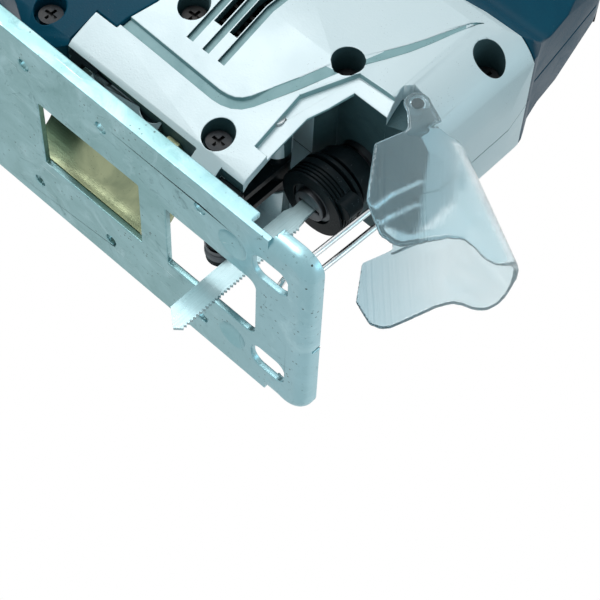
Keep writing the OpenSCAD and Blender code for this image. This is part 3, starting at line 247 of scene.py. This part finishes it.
def soft_box(name, right, up, near, side, watts):
    """A square lamp placed in the camera's own directions, facing the tool."""
    lamp = bpy.data.objects.new(name, bpy.data.lights.new(name, "AREA"))
    bpy.context.scene.collection.objects.link(lamp)
    lamp.data.size = side
    lamp.data.energy = watts
    lamp.location = TOOL_MIDDLE + RIGHT * right - DOWN * up - FORWARD * near
    aim = TOOL_MIDDLE - lamp.location
    lamp.rotation_euler = aim.to_track_quat("-Z", "Y").to_euler()
    return lamp


soft_box("over_light", -0.25, 0.65, 0.55, 0.5, 3.9)
nose_light = soft_box("nose_light", 0.75, -0.10, 0.35, 0.3, 0.8)
nose_light.data.color = SKY_BLUE
soft_box("sole_light", -0.45, -0.55, 0.45, 0.5, 0.5)
print("three soft boxes")

# %% [markdown]
# ## Cast and painted covers
# The two gear covers are pressure-cast and then sprayed with a pale metallic paint. Close
# up such paint has a fine orange peel, sparse dark specks where dust was caught, and thin
# grey marks from use, so those three are layered, each at its own scale.

# %% Paint for the gear covers
PAINT_LIGHT = (0.70, 0.785, 0.815, 1)
PAINT_COOL = (0.62, 0.725, 0.765, 1)
PAINT_SPECK = (0.16, 0.20, 0.22, 1)


def cast_paint():
    paint = Finish("cast_alloy")
    drift = paint.ramp(paint.cloud(34, detail=4, bend=0.6), 0.35, 0.75)
    tone = paint.mix(drift * 0.45, PAINT_LIGHT, PAINT_COOL)
    dust = paint.dots(1100, 0.14) * paint.ramp(paint.cloud(120, detail=2), 0.55, 0.62)
    rub = paint.ramp(paint.cloud(150, detail=5, rough=0.7, bend=1.2), 0.66, 0.74)
    tone = paint.mix(dust * 0.4, tone, PAINT_SPECK)
    tone = paint.mix(rub * 0.18, tone, PAINT_COOL)
    peel = paint.cloud(1500, detail=2) * 0.6 + paint.cloud(420, detail=2) * 0.4
    rough = drift * 0.10 + 0.40 + rub * 0.1
    return paint.done(Base_Color=tone, Roughness=rough, Metallic=0.15,
                      Normal=paint.bump(peel, 0.00006))


FINISHES = {"cast_alloy": cast_paint()}
print("cover paint mixed")

# %% [markdown]
# ## Moulded plastics and rubber
# The motor housing is glass-filled nylon with a spark-eroded grain; the grip is a softer
# rubber moulded over it, and the small black parts are the same nylon in black. A fine
# noise bump is the grain, and a second, coarser noise varies the gloss the way hands do.

# %% Plastic and rubber
BLUE = (0.002, 0.058, 0.100, 1)
BLUE_WORN = (0.005, 0.080, 0.130, 1)
RUBBER = (0.022, 0.024, 0.027, 1)
RUBBER_DUST = (0.060, 0.064, 0.068, 1)
NYLON = (0.005, 0.009, 0.011, 1)
NYLON_DUST = (0.016, 0.022, 0.026, 1)
FLUFF = (0.22, 0.26, 0.28, 1)
PLASTIC_SPECULAR = 0.08


def moulded(name, clean, worn, gloss, grain_scale, grain_depth):
    plastic = Finish(name)
    wear = plastic.ramp(plastic.cloud(60, detail=6, rough=0.65, bend=0.8), 0.48, 0.80)
    fluff = plastic.dots(900, 0.14) * plastic.ramp(plastic.cloud(140), 0.52, 0.60)
    tone = plastic.mix(wear * 0.5, clean, worn)
    tone = plastic.mix(fluff * 0.22, tone, FLUFF)
    grain = plastic.cloud(grain_scale, detail=2, rough=0.6)
    return plastic.done(Base_Color=tone, Roughness=wear * 0.15 + gloss,
                        Specular_IOR_Level=PLASTIC_SPECULAR,
                        Normal=plastic.bump(grain, grain_depth))


FINISHES["blue_shell"] = moulded("blue_shell", BLUE, BLUE_WORN, 0.36, 1700, 0.00005)
FINISHES["grip"] = moulded("grip", RUBBER, RUBBER_DUST, 0.62, 1100, 0.00012)
FINISHES["black_nylon"] = moulded("black_nylon", NYLON, NYLON_DUST, 0.38, 1500, 0.00005)
print("plastics mixed")

# %% [markdown]
# ## Metals
# Each metal is the same recipe with other numbers: a clean and a stained tone mixed by
# cloudy noise, a brushed or turned grain from noise that is stretched along the way the
# metal was worked, and a few scratches. Only the colours, the direction of the grain and
# how polished it is differ between a bearing race and a gear casting.

# %% Worked metals
PIT = (0.03, 0.03, 0.03, 1)


def worked(name, clean, stained, gloss, stretch, grain_depth=0.00002, stain=0.5, metal=1.0):
    work = Finish(name)
    patch = work.ramp(work.cloud(85, detail=6, rough=0.62, bend=0.5), 0.44, 0.72)
    lines = work.cloud(1.0, detail=3, rough=0.7, where=work.stretched(stretch))
    pits = work.dots(1000, 0.15) * work.ramp(work.cloud(170), 0.50, 0.62)
    tone = work.mix(patch * stain, clean, stained)
    tone = work.mix(pits * 0.5, tone, PIT)
    rough = patch * 0.15 + lines * 0.10 + gloss
    return work.done(Base_Color=tone, Roughness=rough, Metallic=metal,
                     Normal=work.bump(lines, grain_depth))


TURNED_X = (2400, 160, 160)
TURNED_Z = (160, 160, 2400)
CAST = (500, 500, 500)
FINISHES["dark_screw"] = worked("dark_screw", (0.030, 0.034, 0.038, 1),
                                (0.10, 0.09, 0.08, 1), 0.30, TURNED_X, metal=0.9)
FINISHES["bronze"] = worked("bronze", (0.55, 0.33, 0.13, 1), (0.24, 0.13, 0.05, 1),
                            0.28, TURNED_Z)
FINISHES["bright_steel"] = worked("bright_steel", (0.72, 0.74, 0.75, 1),
                                  (0.40, 0.42, 0.43, 1), 0.16, TURNED_X, stain=0.3)
FINISHES["dark_steel"] = worked("dark_steel", (0.10, 0.11, 0.12, 1),
                                (0.045, 0.045, 0.05, 1), 0.30, CAST)
FINISHES["gear_alloy"] = worked("gear_alloy", (0.20, 0.26, 0.28, 1),
                                (0.08, 0.12, 0.13, 1), 0.40, CAST, 0.00008)
FINISHES["yellow_zinc"] = worked("yellow_zinc", (0.36, 0.40, 0.25, 1),
                                 (0.14, 0.19, 0.13, 1), 0.26, CAST, stain=0.6)
FINISHES["carbon"] = worked("carbon", (0.020, 0.020, 0.022, 1), (0.05, 0.05, 0.05, 1),
                            0.50, CAST, metal=0.0)
print("metals mixed")

# %% [markdown]
# ## Zinc sheet of the sole
# The sole is pressed from zinc-plated steel. Passivated zinc is bluish and cloudy, and the
# colour here is also made paler towards the front. It has white bloom, darker stains where
# chips were dragged over it, specks where the fold rubs, and long fine scratches along the
# cut.

# %% Passivated zinc
ZINC_DARK = (0.19, 0.38, 0.39, 1)
ZINC_PALE = (0.36, 0.58, 0.61, 1)
ZINC_FRONT = (0.42, 0.66, 0.76, 1)
ZINC_BLOOM = (0.56, 0.79, 0.84, 1)
ZINC_STAIN = (0.10, 0.19, 0.21, 1)
ZINC_SPECK = (0.06, 0.09, 0.09, 1)
ZINC_SCRATCH = (0.80, 0.92, 0.93, 1)
PALE_FROM_X = -0.030
PALE_TO_X = 0.032
FOLD_RISE = (0.0285, 0.0305)
FOLD_FALL = (0.0325, 0.0345)


def zinc_sheet():
    zinc = Finish("zinc_sheet")
    cloud = zinc.ramp(zinc.cloud(38, detail=7, rough=0.62, bend=1.4), 0.30, 0.72)
    tone = zinc.mix(cloud, ZINC_DARK, ZINC_PALE)
    front = zinc.ramp(zinc.axis(0), PALE_FROM_X, PALE_TO_X)
    tone = zinc.mix(front * 0.5, tone, ZINC_FRONT)
    bloom = zinc.ramp(zinc.cloud(55, detail=6, rough=0.68, bend=1.2), 0.54, 0.74)
    tone = zinc.mix(bloom * 0.5, tone, ZINC_BLOOM)
    stain = zinc.ramp(zinc.cloud(120, detail=6, rough=0.7, bend=2.0), 0.58, 0.74)
    tone = zinc.mix(stain * 0.55, tone, ZINC_STAIN)
    past_fold = 1 - zinc.ramp(zinc.axis(0), *FOLD_FALL)
    fold = zinc.ramp(zinc.axis(0), *FOLD_RISE) * past_fold
    patchy = zinc.ramp(zinc.cloud(75), 0.50, 0.60) + fold * 0.9
    speck = zinc.dots(480, 0.17) * patchy
    tone = zinc.mix(speck * 0.7, tone, ZINC_SPECK)
    streak = zinc.cloud(1.0, detail=3, rough=0.75, where=zinc.stretched((30, 1600, 400)))
    scratch = zinc.ramp(streak, 0.66, 0.70)
    tone = zinc.mix(scratch * 0.5, tone, ZINC_SCRATCH)
    rough = cloud * 0.12 + 0.30 + stain * 0.15 - scratch * 0.1
    return zinc.done(Base_Color=tone, Roughness=rough, Metallic=0.85,
                     Normal=zinc.bump(streak, 0.00004))


FINISHES["zinc_sheet"] = zinc_sheet()
print("zinc mixed")

# %% [markdown]
# ## Blade steel
# A blade is ground along its length, so its grain runs down the blade and its face is
# bright, with faint darker patches and darker grinding lines.

# %% Ground steel
BLADE_BRIGHT = (0.40, 0.54, 0.57, 1)
BLADE_PATCH = (0.26, 0.40, 0.43, 1)
BLADE_LINE = (0.18, 0.28, 0.30, 1)


def blade_steel():
    steel = Finish("blade_steel")
    lines = steel.cloud(1.0, detail=4, rough=0.75, where=steel.stretched((2600, 2600, 40)))
    patch = steel.ramp(steel.cloud(130, detail=4), 0.45, 0.70)
    tone = steel.mix(patch * 0.5, BLADE_BRIGHT, BLADE_PATCH)
    tone = steel.mix(steel.ramp(lines, 0.35, 0.65) * 0.35, tone, BLADE_LINE)
    return steel.done(Base_Color=tone, Roughness=lines * 0.2 + 0.20, Metallic=0.95,
                      Normal=steel.bump(lines, 0.00004))


FINISHES["blade_steel"] = blade_steel()
print("blade steel mixed")

# %% [markdown]
# ## Motor iron and copper
# Armature and field cores are stacks of thin sheets, which show as fine rings along the
# shaft. Windings are lacquered copper wire laid side by side, so they get a rounded wave
# at the pitch of the wire. Both patterns are plain sine waves on the long axis.

# %% Laminations and windings
SHEET_PITCH = 0.0005
WIRE_PITCH = 0.0007


def striped(name, bright, dark, pitch, gloss, metal, depth):
    stack = Finish(name)
    along = stack.axis(0) * (2 * math.pi / pitch)
    wave = along.maths("SINE", along) * 0.5 + 0.5
    patch = stack.ramp(stack.cloud(110, detail=4), 0.40, 0.75)
    tone = stack.mix(wave, dark, bright)
    tone = stack.mix(patch * 0.4, tone, dark)
    return stack.done(Base_Color=tone, Roughness=patch * 0.2 + gloss, Metallic=metal,
                      Normal=stack.bump(wave, depth))


FINISHES["lamination"] = striped("lamination", (0.34, 0.35, 0.36, 1),
                                 (0.10, 0.10, 0.11, 1), SHEET_PITCH, 0.38, 0.9, 0.00015)
FINISHES["copper_wire"] = striped("copper_wire", (0.62, 0.25, 0.10, 1),
                                  (0.20, 0.06, 0.02, 1), WIRE_PITCH, 0.25, 0.8, 0.0003)
print("motor finishes mixed")

# %% [markdown]
# ## Clear hood
# The chip hood is injection-moulded polycarbonate. A thin clear shell shows mostly as
# its edges and reflections, so it is a glassy transmission with a faint blue-green tint
# and very fine drag lines from wiping. Towards the free side of the flanks a darker teal is
# painted in as painted shade, and the drag lines show there too; both fade towards the
# bend. `ACROSS` is that direction, as its share of X and of Z.

# %% Clear plastic
ACROSS = (0.73, 0.69)
FREE_SIDE = 0.030
BENT_SIDE = 0.070
LINE_PITCH = 1 / 1500
LINE_WANDER = 0.0012
HOOD_CLEAR = (0.84, 0.965, 1.0, 1)
HOOD_SMEAR = (0.64, 0.84, 0.90, 1)
HOOD_FREE_SHADE = (0.40, 0.64, 0.73, 1)
HOOD_LINE = (0.28, 0.50, 0.60, 1)


def clear_plastic():
    clear = Finish("clear_hood")
    across = clear.axis(0) * ACROSS[0] + clear.axis(2) * ACROSS[1]
    wave = clear.cloud(60, detail=2) * LINE_WANDER
    place = (across + wave) * (1 / LINE_PITCH)
    sockets = {"W": place, "Scale": 1.0, "Detail": 3.0, "Roughness": 0.7}
    drag = clear.node("ShaderNodeTexNoise", {"noise_dimensions": "1D"}, sockets)
    smear = clear.ramp(clear.cloud(70, detail=5, bend=1.0), 0.45, 0.75)
    tone = clear.mix(smear * 0.3, HOOD_CLEAR, HOOD_SMEAR)
    # Painted shade: a darker teal towards the free side of the flanks; the real drag lines
    # also show there.
    free_side_shade_and_lines = 1 - clear.ramp(across, FREE_SIDE, BENT_SIDE)
    tone = clear.mix(free_side_shade_and_lines * 0.9, tone, HOOD_FREE_SHADE)
    lines = clear.ramp(drag, 0.42, 0.60) * free_side_shade_and_lines
    tone = clear.mix(lines * 0.45, tone, HOOD_LINE)
    return clear.done(Base_Color=tone, Roughness=drag * 0.06 + smear * 0.03 + 0.02,
                      Normal=clear.bump(drag, 0.00003),
                      Transmission_Weight=0.86, IOR=1.45)


FINISHES["clear_hood"] = clear_plastic()
print(len(FINISHES), "finishes for", len(set(SLOT_OF.values())), "slots")

# %% [markdown]
# ## Every CAD node gets its finish
# The record says which finish each node wears, so one loop hands them out. Three small
# parts down by the blade sit in the shade of the blade bay, and get the dark steel instead
# as painted shade.

# %% Hand out the finishes
# Painted shade: dark steel for the three parts that sit in the shaded blade bay.
SHADED_IN_BAY = {"lower_bush": "dark_steel", "support_roller": "dark_steel",
         "roller_axle": "dark_steel"}
for node, thing in NODES.items():
    thing.data.materials.clear()
    thing.data.materials.append(FINISHES[SHADED_IN_BAY.get(node, SLOT_OF[node])])
print("finishes on", len(NODES), "nodes")

# %% [markdown]
# ## Rounding the edges that catch light
# No moulded, cast or pressed edge is truly sharp: a radius of a few tenths of a
# millimetre draws the thin bright line that makes an edge look real. Each visible node
# is copied, its loose triangles are merged and its flat faces made whole again. Then a
# Bevel modifier rounds only the sharp edges that have room for it, which are marked by
# their weight, and a Weighted Normal modifier keeps the flat faces flat. The copy stands
# for the node, which stays hidden for collision.

# %% Helper for rounded copies
EDGE_ROOM = 4
SMOOTH_TURN = math.radians(30)
MERGE = 0.000002


def only(piece):
    """Selects one piece and nothing else."""
    bpy.ops.object.select_all(action="DESELECT")
    piece.select_set(True)
    bpy.context.view_layer.objects.active = piece


def make_whole(piece, flat=0.3):
    """Joins neighbouring faces that lie within `flat` degrees of one plane."""
    only(piece)
    bpy.ops.object.mode_set(mode="EDIT")
    bpy.ops.mesh.select_all(action="SELECT")
    bpy.ops.mesh.dissolve_limited(angle_limit=math.radians(flat))
    bpy.ops.object.mode_set(mode="OBJECT")


def joined_copy(node, flat=0.3):
    """A copy of a node's mesh, merged, and made whole unless `flat` is 0."""
    piece = bpy.data.objects.new(node + "_finished", NODES[node].data.copy())
    bpy.context.scene.collection.objects.link(piece)
    only(piece)
    bpy.ops.object.mode_set(mode="EDIT")
    bpy.ops.mesh.select_all(action="SELECT")
    bpy.ops.mesh.remove_doubles(threshold=MERGE)
    bpy.ops.object.mode_set(mode="OBJECT")
    if flat:
        make_whole(piece, flat)
    return piece


def stands_for(piece, node):
    """Puts a piece in the node's place and on its body, and hides the node."""
    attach(piece, BODY_OF[node])
    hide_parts(node)


def mark_edges(piece, radius, sharp, crisp):
    """Marks the sharp edges, outside the boxes `crisp`, with room for a bevel of `radius`."""
    mesh = bmesh.new()
    mesh.from_mesh(piece.data)
    weight = mesh.edges.layers.float.new("bevel_weight_edge")
    hard = set()
    for edge in mesh.edges:
        if len(edge.link_faces) == 2 and edge.calc_face_angle(0) > sharp:
            hard.add(edge)
    for edge in hard:
        middle = (edge.verts[0].co + edge.verts[1].co) / 2
        if any(all(low < c < high for low, c, high in zip(box[0], middle, box[1]))
               for box in crisp):
            continue
        room = edge.calc_length() > EDGE_ROOM * radius
        for vertex in () if room else edge.verts:
            way = edge.other_vert(vertex).co - vertex.co
            rest = [e for e in vertex.link_edges if e in hard and e is not edge]
            turns = [way.angle(vertex.co - e.other_vert(vertex).co, 0) for e in rest]
            room = bool(turns) and min(turns) < SMOOTH_TURN
            if not room:
                break
        edge[weight] = 1.0 if room else 0.0
    mesh.to_mesh(piece.data)
    mesh.free()


def round_edges(piece, radius, segments=2, sharp=32, smooth=35, crisp=()):
    """Rounds the sharp edges of a piece to `radius` metres and smooths its curves."""
    mark_edges(piece, radius, math.radians(sharp), crisp)
    only(piece)
    bevel = piece.modifiers.new("edges", "BEVEL")
    bevel.width = radius
    bevel.segments = segments
    bevel.limit_method = "WEIGHT"
    bevel.use_clamp_overlap = False
    bevel.miter_outer = "MITER_ARC"
    bpy.ops.object.modifier_apply(modifier="edges")
    bpy.ops.object.shade_smooth_by_angle(angle=math.radians(smooth))
    level = piece.modifiers.new("level", "WEIGHTED_NORMAL")
    level.keep_sharp = True
    bpy.ops.object.modifier_apply(modifier="level")


# %% [markdown]
# ## Gear covers
# Two things set the real covers apart from a plain shell. The broad band along each flank
# slopes inwards from its upper edge, so it faces down, and its faces get a darker teal as
# painted shade, so that it reads as one dark stripe. The mouth of the blade bay, the screw
# pockets, the deep air slots and the undersides get a near-black teal as painted shade, and
# the shallow side walls of slots and grooves get the darker teal as painted shade. The band
# is made by moving the upper edge of the groove's floor out to the flank, and the shaded
# faces are picked by how deep they lie.

# %% Shape the band and paint shade into the band and the pockets
BAND = [(-0.0820, 0.0374), (-0.0380, 0.0365), (-0.0316, 0.0377), (-0.0272, 0.0415),
        (-0.0195, 0.0542), (-0.0106, 0.0700), (-0.0034, 0.0842), (0.0014, 0.0974),
        (0.0058, 0.1090)]
BAND_DEPTH = 0.0014
BAND_SINK = 0.0011
BAND_REACH = 0.0026
BAND_SLACK = 0.00012
BAND_LIP = 0.00003
BAND_SKIN = (0.0001, 0.0029)
SHOULDER_Z = 0.0662
FOOT_Z = 0.0229
FOOT_HALF = 0.0185
BODY_HALF = 0.0330
NOSE_START = 0.0020
NOSE_CORNER = 0.0100
NOSE_RADIUS = 0.0230
SCREW_POCKETS = [(-0.0282, 0.0279), (0.0146, 0.1020), (-0.0641, 0.0537), (-0.0131, 0.0683)]
POCKET_RADIUS = 0.0066
DEEP_SHADE_DEPTH = 0.0007
WALL_SHADE_DEPTH = 0.0002
WALL_DEPTH = 0.0030
SLOT_DEPTH = 0.0022
SLOT_X = (-0.0600, -0.0400)
SLOT_Z = (0.044, 0.083)
BAY_X = -0.0135
BAY_TOP_Z = 0.080
BAY_FOOT_Z = 0.030
UNDERSIDE_Z = 0.024
KEEL_Z = 0.0209


def flank(z):
    """Half width of the covers at height z."""
    if z >= SHOULDER_Z:
        return BODY_HALF
    rise = (z - FOOT_Z) / (SHOULDER_Z - FOOT_Z)
    return FOOT_HALF + (BODY_HALF - FOOT_HALF) * rise


def depth_below_paint(point):
    """How far a point lies inside the covers' outer skin."""
    inset = BODY_HALF - flank(point.z)
    side = max(abs(point.y) + inset - NOSE_CORNER, 0)
    front = max(point.x - NOSE_START, 0)
    return NOSE_RADIUS - math.hypot(side, front)


def above_band(point):
    """How far a point lies above the band's middle line, or None beyond its reach."""
    best = None
    for (x0, z0), (x1, z1) in zip(BAND, BAND[1:]):
        along = Vector((x1 - x0, z1 - z0))
        to = Vector((point.x - x0, point.z - z0))
        share = min(max(to.dot(along) / along.length_squared, 0), 1)
        gap = to - along * share
        if best is None or gap.length < abs(best):
            side = along.x * to.y - along.y * to.x
            best = math.copysign(gap.length, side)
    return best if abs(best) < BAND_REACH else None


def tilt_band(piece):
    """Moves the floor of the groove so that it slopes in from its upper edge."""
    moved = [0, 0]
    for vertex in piece.data.vertices:
        depth = flank(vertex.co.z) - abs(vertex.co.y)
        above = above_band(vertex.co)
        if above is None or abs(depth - BAND_DEPTH) > BAND_SLACK:
            continue
        shift = depth - BAND_LIP if above > 0 else -BAND_SINK
        vertex.co.y += math.copysign(shift, vertex.co.y)
        moved[above > 0] += 1
    return moved


def paint_cover_shade(piece, *finishes):
    """Gives deep faces and undersides a near-black painted shade, and the band and shallow
    walls a darker teal painted shade.
    """
    for finish in finishes:
        piece.data.materials.append(finish)
    count = [0, 0, 0]
    for face in piece.data.polygons:
        centre = face.center
        depth = depth_below_paint(centre)
        in_pocket = any(math.hypot(centre.x - x, centre.z - z) < POCKET_RADIUS
                        for x, z in SCREW_POCKETS)
        in_bay = centre.x > BAY_X and centre.z < BAY_TOP_Z and depth > WALL_DEPTH
        in_slot = SLOT_X[0] < centre.x < SLOT_X[1] and SLOT_Z[0] < centre.z < SLOT_Z[1]
        on_band = above_band(centre) is not None and BAND_SKIN[0] < depth < BAND_SKIN[1]
        wall = abs(face.normal.y) < 0.6 and depth < WALL_DEPTH and centre.z > BAY_FOOT_Z
        below = centre.z < UNDERSIDE_Z and (face.normal.z < -0.7 or centre.z < KEEL_Z)
        # Painted shade: near-black for deep pockets, the bay, deep slots and undersides;
        # darker teal for the band and shallow walls.
        if below or depth > DEEP_SHADE_DEPTH and (in_pocket or in_bay) or (
                in_slot and depth > SLOT_DEPTH):
            face.material_index = 1
        elif on_band or (wall or in_slot) and depth > WALL_SHADE_DEPTH and centre.x < NOSE_START:
            face.material_index = 2
        count[face.material_index] += 1
    return count


# Painted shade: a near-black teal for deep faces and undersides, and a darker teal for the
# band and shallow walls.
deep_shade = worked("cover_deep_shade", (0.042, 0.092, 0.104, 1), (0.020, 0.050, 0.058, 1), 0.55,
             CAST, 0.00010, metal=0.2)
band_and_wall_shade = worked("band_and_wall_shade", (0.27, 0.43, 0.45, 1), (0.20, 0.35, 0.37, 1), 0.50,
                   CAST, 0.00004, metal=0.1)
COVER_EDGE = 0.0003
VENT_BOX = ((-0.064, -0.04, 0.040), (-0.038, 0.04, 0.086))
for node in ("gear_cover_right", "gear_cover_left"):
    cover = joined_copy(node, flat=0)
    print(node, "band points moved", tilt_band(cover))
    make_whole(cover)
    print("faces in cover paint, deep painted shade and band painted shade", paint_cover_shade(cover, deep_shade, band_and_wall_shade))
    round_edges(cover, COVER_EDGE, crisp=[VENT_BOX])
    stands_for(cover, node)

# %% [markdown]
# ## The other rounded parts
# The rest of the parts in sight only need their edges broken, each by its own radius.

# %% Round the other parts in sight
ROUNDINGS = {
    "motor_housing_right": 0.0006,
    "motor_housing_left": 0.0006,
    "cradle_seat": 0.0004,
    "clamp_body": 0.0003,
    "clamp_sleeve": 0.0002,
    "clamp_collar": 0.0003,
    "guide_bracket": 0.0002,
    "stop_bolts": 0.0002,
    "speed_wheel": 0.0003,
    "trigger": 0.0008,
    "lock_button": 0.0004,
    "grip_pad": 0.0006,
    "cord_gland": 0.0005,
}
for node, radius in ROUNDINGS.items():
    piece = joined_copy(node)
    round_edges(piece, radius)
    stands_for(piece, node)
    print(node, len(piece.data.polygons), "faces")

# %% [markdown]
# ## Sole plate
# The sole is stamped, so its outline has a soft rolled edge. Its front rim and front
# corners are cut off square, because the curl that follows takes their place. The cut
# edges are kept crisp, so that plate and curl meet without a groove.

# %% Trim and soften the sole
PLATE_EDGE = 0.0004
CUT_X = 0.0272
CORNER_X = 0.0240
CURL_START_X = 0.0190
CORNER_Y = 0.0340
FLANGE_Y = 0.0405
SEAM_ROOM = 0.0003
BELOW, ABOVE, OUTSIDE = -0.01, 0.03, 0.06
SEAM_Z = (-0.001, 0.003)


def cut_away(piece, low, high):
    """Removes the part of a piece that lies in the box from `low` to `high`."""
    bpy.ops.object.select_all(action="DESELECT")
    middle = [(a + b) / 2 for a, b in zip(low, high)]
    bpy.ops.mesh.primitive_cube_add(size=1, location=middle)
    tool = bpy.context.active_object
    tool.scale = [b - a for a, b in zip(low, high)]
    bpy.ops.object.transform_apply(location=True, scale=True)
    only(piece)
    cut = piece.modifiers.new("cut", "BOOLEAN")
    cut.operation = "DIFFERENCE"
    cut.object = tool
    bpy.ops.object.modifier_apply(modifier="cut")
    bpy.data.objects.remove(tool)


plate = joined_copy("base_plate", flat=0)
cut_away(plate, (CUT_X, -OUTSIDE, BELOW), (OUTSIDE, OUTSIDE, ABOVE))
seam_end = CUT_X + SEAM_ROOM
seam_half = CORNER_Y + SEAM_ROOM
seams = [((CUT_X - SEAM_ROOM, -seam_half, SEAM_Z[0]), (seam_end, seam_half, SEAM_Z[1]))]
for side in (-1, 1):
    y0, y1 = sorted((side * CORNER_Y, side * OUTSIDE))
    cut_away(plate, (CURL_START_X, y0, BELOW), (OUTSIDE, y1, ABOVE))
    y0, y1 = sorted((side * (CORNER_Y - SEAM_ROOM), side * FLANGE_Y))
    seams.append(((CURL_START_X - SEAM_ROOM, y0, SEAM_Z[0]), (seam_end, y1, SEAM_Z[1])))
make_whole(plate)
round_edges(plate, PLATE_EDGE, crisp=seams)
stands_for(plate, "base_plate")
print("sole", len(plate.data.polygons), "faces")

# %% [markdown]
# ## Curled front of the sole
# The front edge and both front corners are drawn upwards in one press stroke, so the
# sheet rolls over without a seam. A grid is bent over that shape: its columns run round
# the outline, its rows run from the flat sheet up the curl, and Solidify adds the sheet's
# thickness on the inside. It laps a hair over the plate's cut edge, so no gap shows.

# %% Bend the curl
SHEET = 0.0022
CURL_RADIUS = 0.0046
CURL_TOP = 0.0064
CURL_EDGE = 0.0004
SIDE_REACH = 0.0070
FRONT_REACH = 0.0112
LAP = 0.0001
PROUD = 0.00002
FRONT_GAP = 0.0002
CURL_MERGE = 0.00002
SIDE_COLUMNS, CORNER_COLUMNS, FRONT_COLUMNS = 4, 12, 20
BEND_ROWS = 9
NICK = ((0.0342, 0.0034, 0.0030), (0.0400, 0.0048, 0.0100))
FLAT_BOX = ((0, -0.05, -0.001), (0.05, 0.05, 0.0040))


def curl_stations():
    """Origin, outward way, start and reach of each column round the outline."""
    right = []
    for i in range(SIDE_COLUMNS):
        x = CURL_START_X + (CORNER_X - CURL_START_X) * i / SIDE_COLUMNS
        right.append((Vector((x, -CORNER_Y)), Vector((0, -1)), 0, SIDE_REACH))
    for i in range(CORNER_COLUMNS + 1):
        turn = math.radians(-90 + 90 * i / CORNER_COLUMNS)
        share = 0.5 - 0.5 * math.cos(2 * turn + math.pi)
        reach = SIDE_REACH + (FRONT_REACH - SIDE_REACH) * share
        way = Vector((math.cos(turn), math.sin(turn)))
        right.append((Vector((CORNER_X, -CORNER_Y)), way, 0, reach))
    start = CUT_X - CORNER_X - LAP
    for i in range(FRONT_COLUMNS):
        y = -CORNER_Y + FRONT_GAP + (CORNER_Y - FRONT_GAP) * i / FRONT_COLUMNS
        right.append((Vector((CORNER_X, y)), Vector((1, 0)), start, FRONT_REACH))
    flip = Vector((1, -1))
    left = [(o * flip, w * flip, a, b) for o, w, a, b in reversed(right)]
    return right + [(Vector((CORNER_X, 0)), Vector((1, 0)), start, FRONT_REACH)] + left


def curl_section(start, reach):
    """Distance from the origin and height of each row, from the flat sheet to the rim."""
    bend = reach - CURL_RADIUS
    section = [(start, 0), ((start + bend) / 2, 0)]
    for i in range(BEND_ROWS + 1):
        turn = math.radians(90 * i / BEND_ROWS)
        height = CURL_RADIUS * (1 - math.cos(turn))
        section.append((bend + CURL_RADIUS * math.sin(turn), height))
    return section + [(reach, CURL_TOP)]


stations = curl_stations()
rows = len(curl_section(0, 1))
bpy.ops.object.select_all(action="DESELECT")
bpy.ops.mesh.primitive_grid_add(x_subdivisions=rows - 1, y_subdivisions=len(stations) - 1)
curl = bpy.context.active_object
curl.name = "sole_curl"
for index, vertex in enumerate(curl.data.vertices):
    origin, way, start, reach = stations[index // rows]
    far, height = curl_section(start, reach)[index % rows]
    spot = origin + way * far
    vertex.co = (spot.x, spot.y, height - PROUD)
only(curl)
bpy.ops.object.mode_set(mode="EDIT")
bpy.ops.mesh.select_all(action="SELECT")
bpy.ops.mesh.remove_doubles(threshold=CURL_MERGE)
bpy.ops.mesh.normals_make_consistent(inside=False)
bpy.ops.object.mode_set(mode="OBJECT")
if min(curl.data.polygons, key=lambda f: f.center.z).normal.z > 0:
    bpy.ops.object.mode_set(mode="EDIT")
    bpy.ops.mesh.flip_normals()
    bpy.ops.object.mode_set(mode="OBJECT")
wall = curl.modifiers.new("wall", "SOLIDIFY")
wall.thickness = SHEET
wall.offset = -1
wall.use_even_offset = False
bpy.ops.object.modifier_apply(modifier="wall")
cut_away(curl, *NICK)
round_edges(curl, CURL_EDGE, sharp=50, smooth=50, crisp=[FLAT_BOX])
curl.data.materials.append(FINISHES["zinc_sheet"])
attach(curl, "base")
print("curl", len(stations), "columns and", rows, "rows")

# %% [markdown]
# ## Arch over the rear window
# The arch is a bent strip: it only needs to read as one smooth curve.

# %% Smooth the arch
arch = joined_copy("cradle_arch")
only(arch)
bpy.ops.object.shade_smooth_by_angle(angle=math.radians(35))
stands_for(arch, "cradle_arch")
print("arch", len(arch.data.polygons), "faces")

# %% [markdown]
# ## Clear hood and blade
# The hood is one bent shell, moulded with no hard edge on it. Long facets would show as
# creases in clear plastic, so its mesh is rebuilt from voxels about a third of the wall
# thick and then relaxed with a Smooth modifier, which rounds every bend and rim alike.
# The blade is stamped and ground, so its faces stay dead flat and its teeth stay crisp.

# %% Smooth the hood and flatten the blade
HOOD_VOXEL = 0.00055
HOOD_RELAX = 14
hood = joined_copy("chip_hood", flat=0)
only(hood)
skin = hood.modifiers.new("skin", "REMESH")
skin.mode = "VOXEL"
skin.voxel_size = HOOD_VOXEL
bpy.ops.object.modifier_apply(modifier="skin")
relax = hood.modifiers.new("relax", "SMOOTH")
relax.factor = 0.5
relax.iterations = HOOD_RELAX
bpy.ops.object.modifier_apply(modifier="relax")
bpy.ops.object.shade_smooth()
stands_for(hood, "chip_hood")
blade = joined_copy("saw_blade")
only(blade)
bpy.ops.object.shade_smooth_by_angle(angle=math.radians(8))
stands_for(blade, "saw_blade")
print("hood", len(hood.data.polygons), "blade", len(blade.data.polygons), "faces")
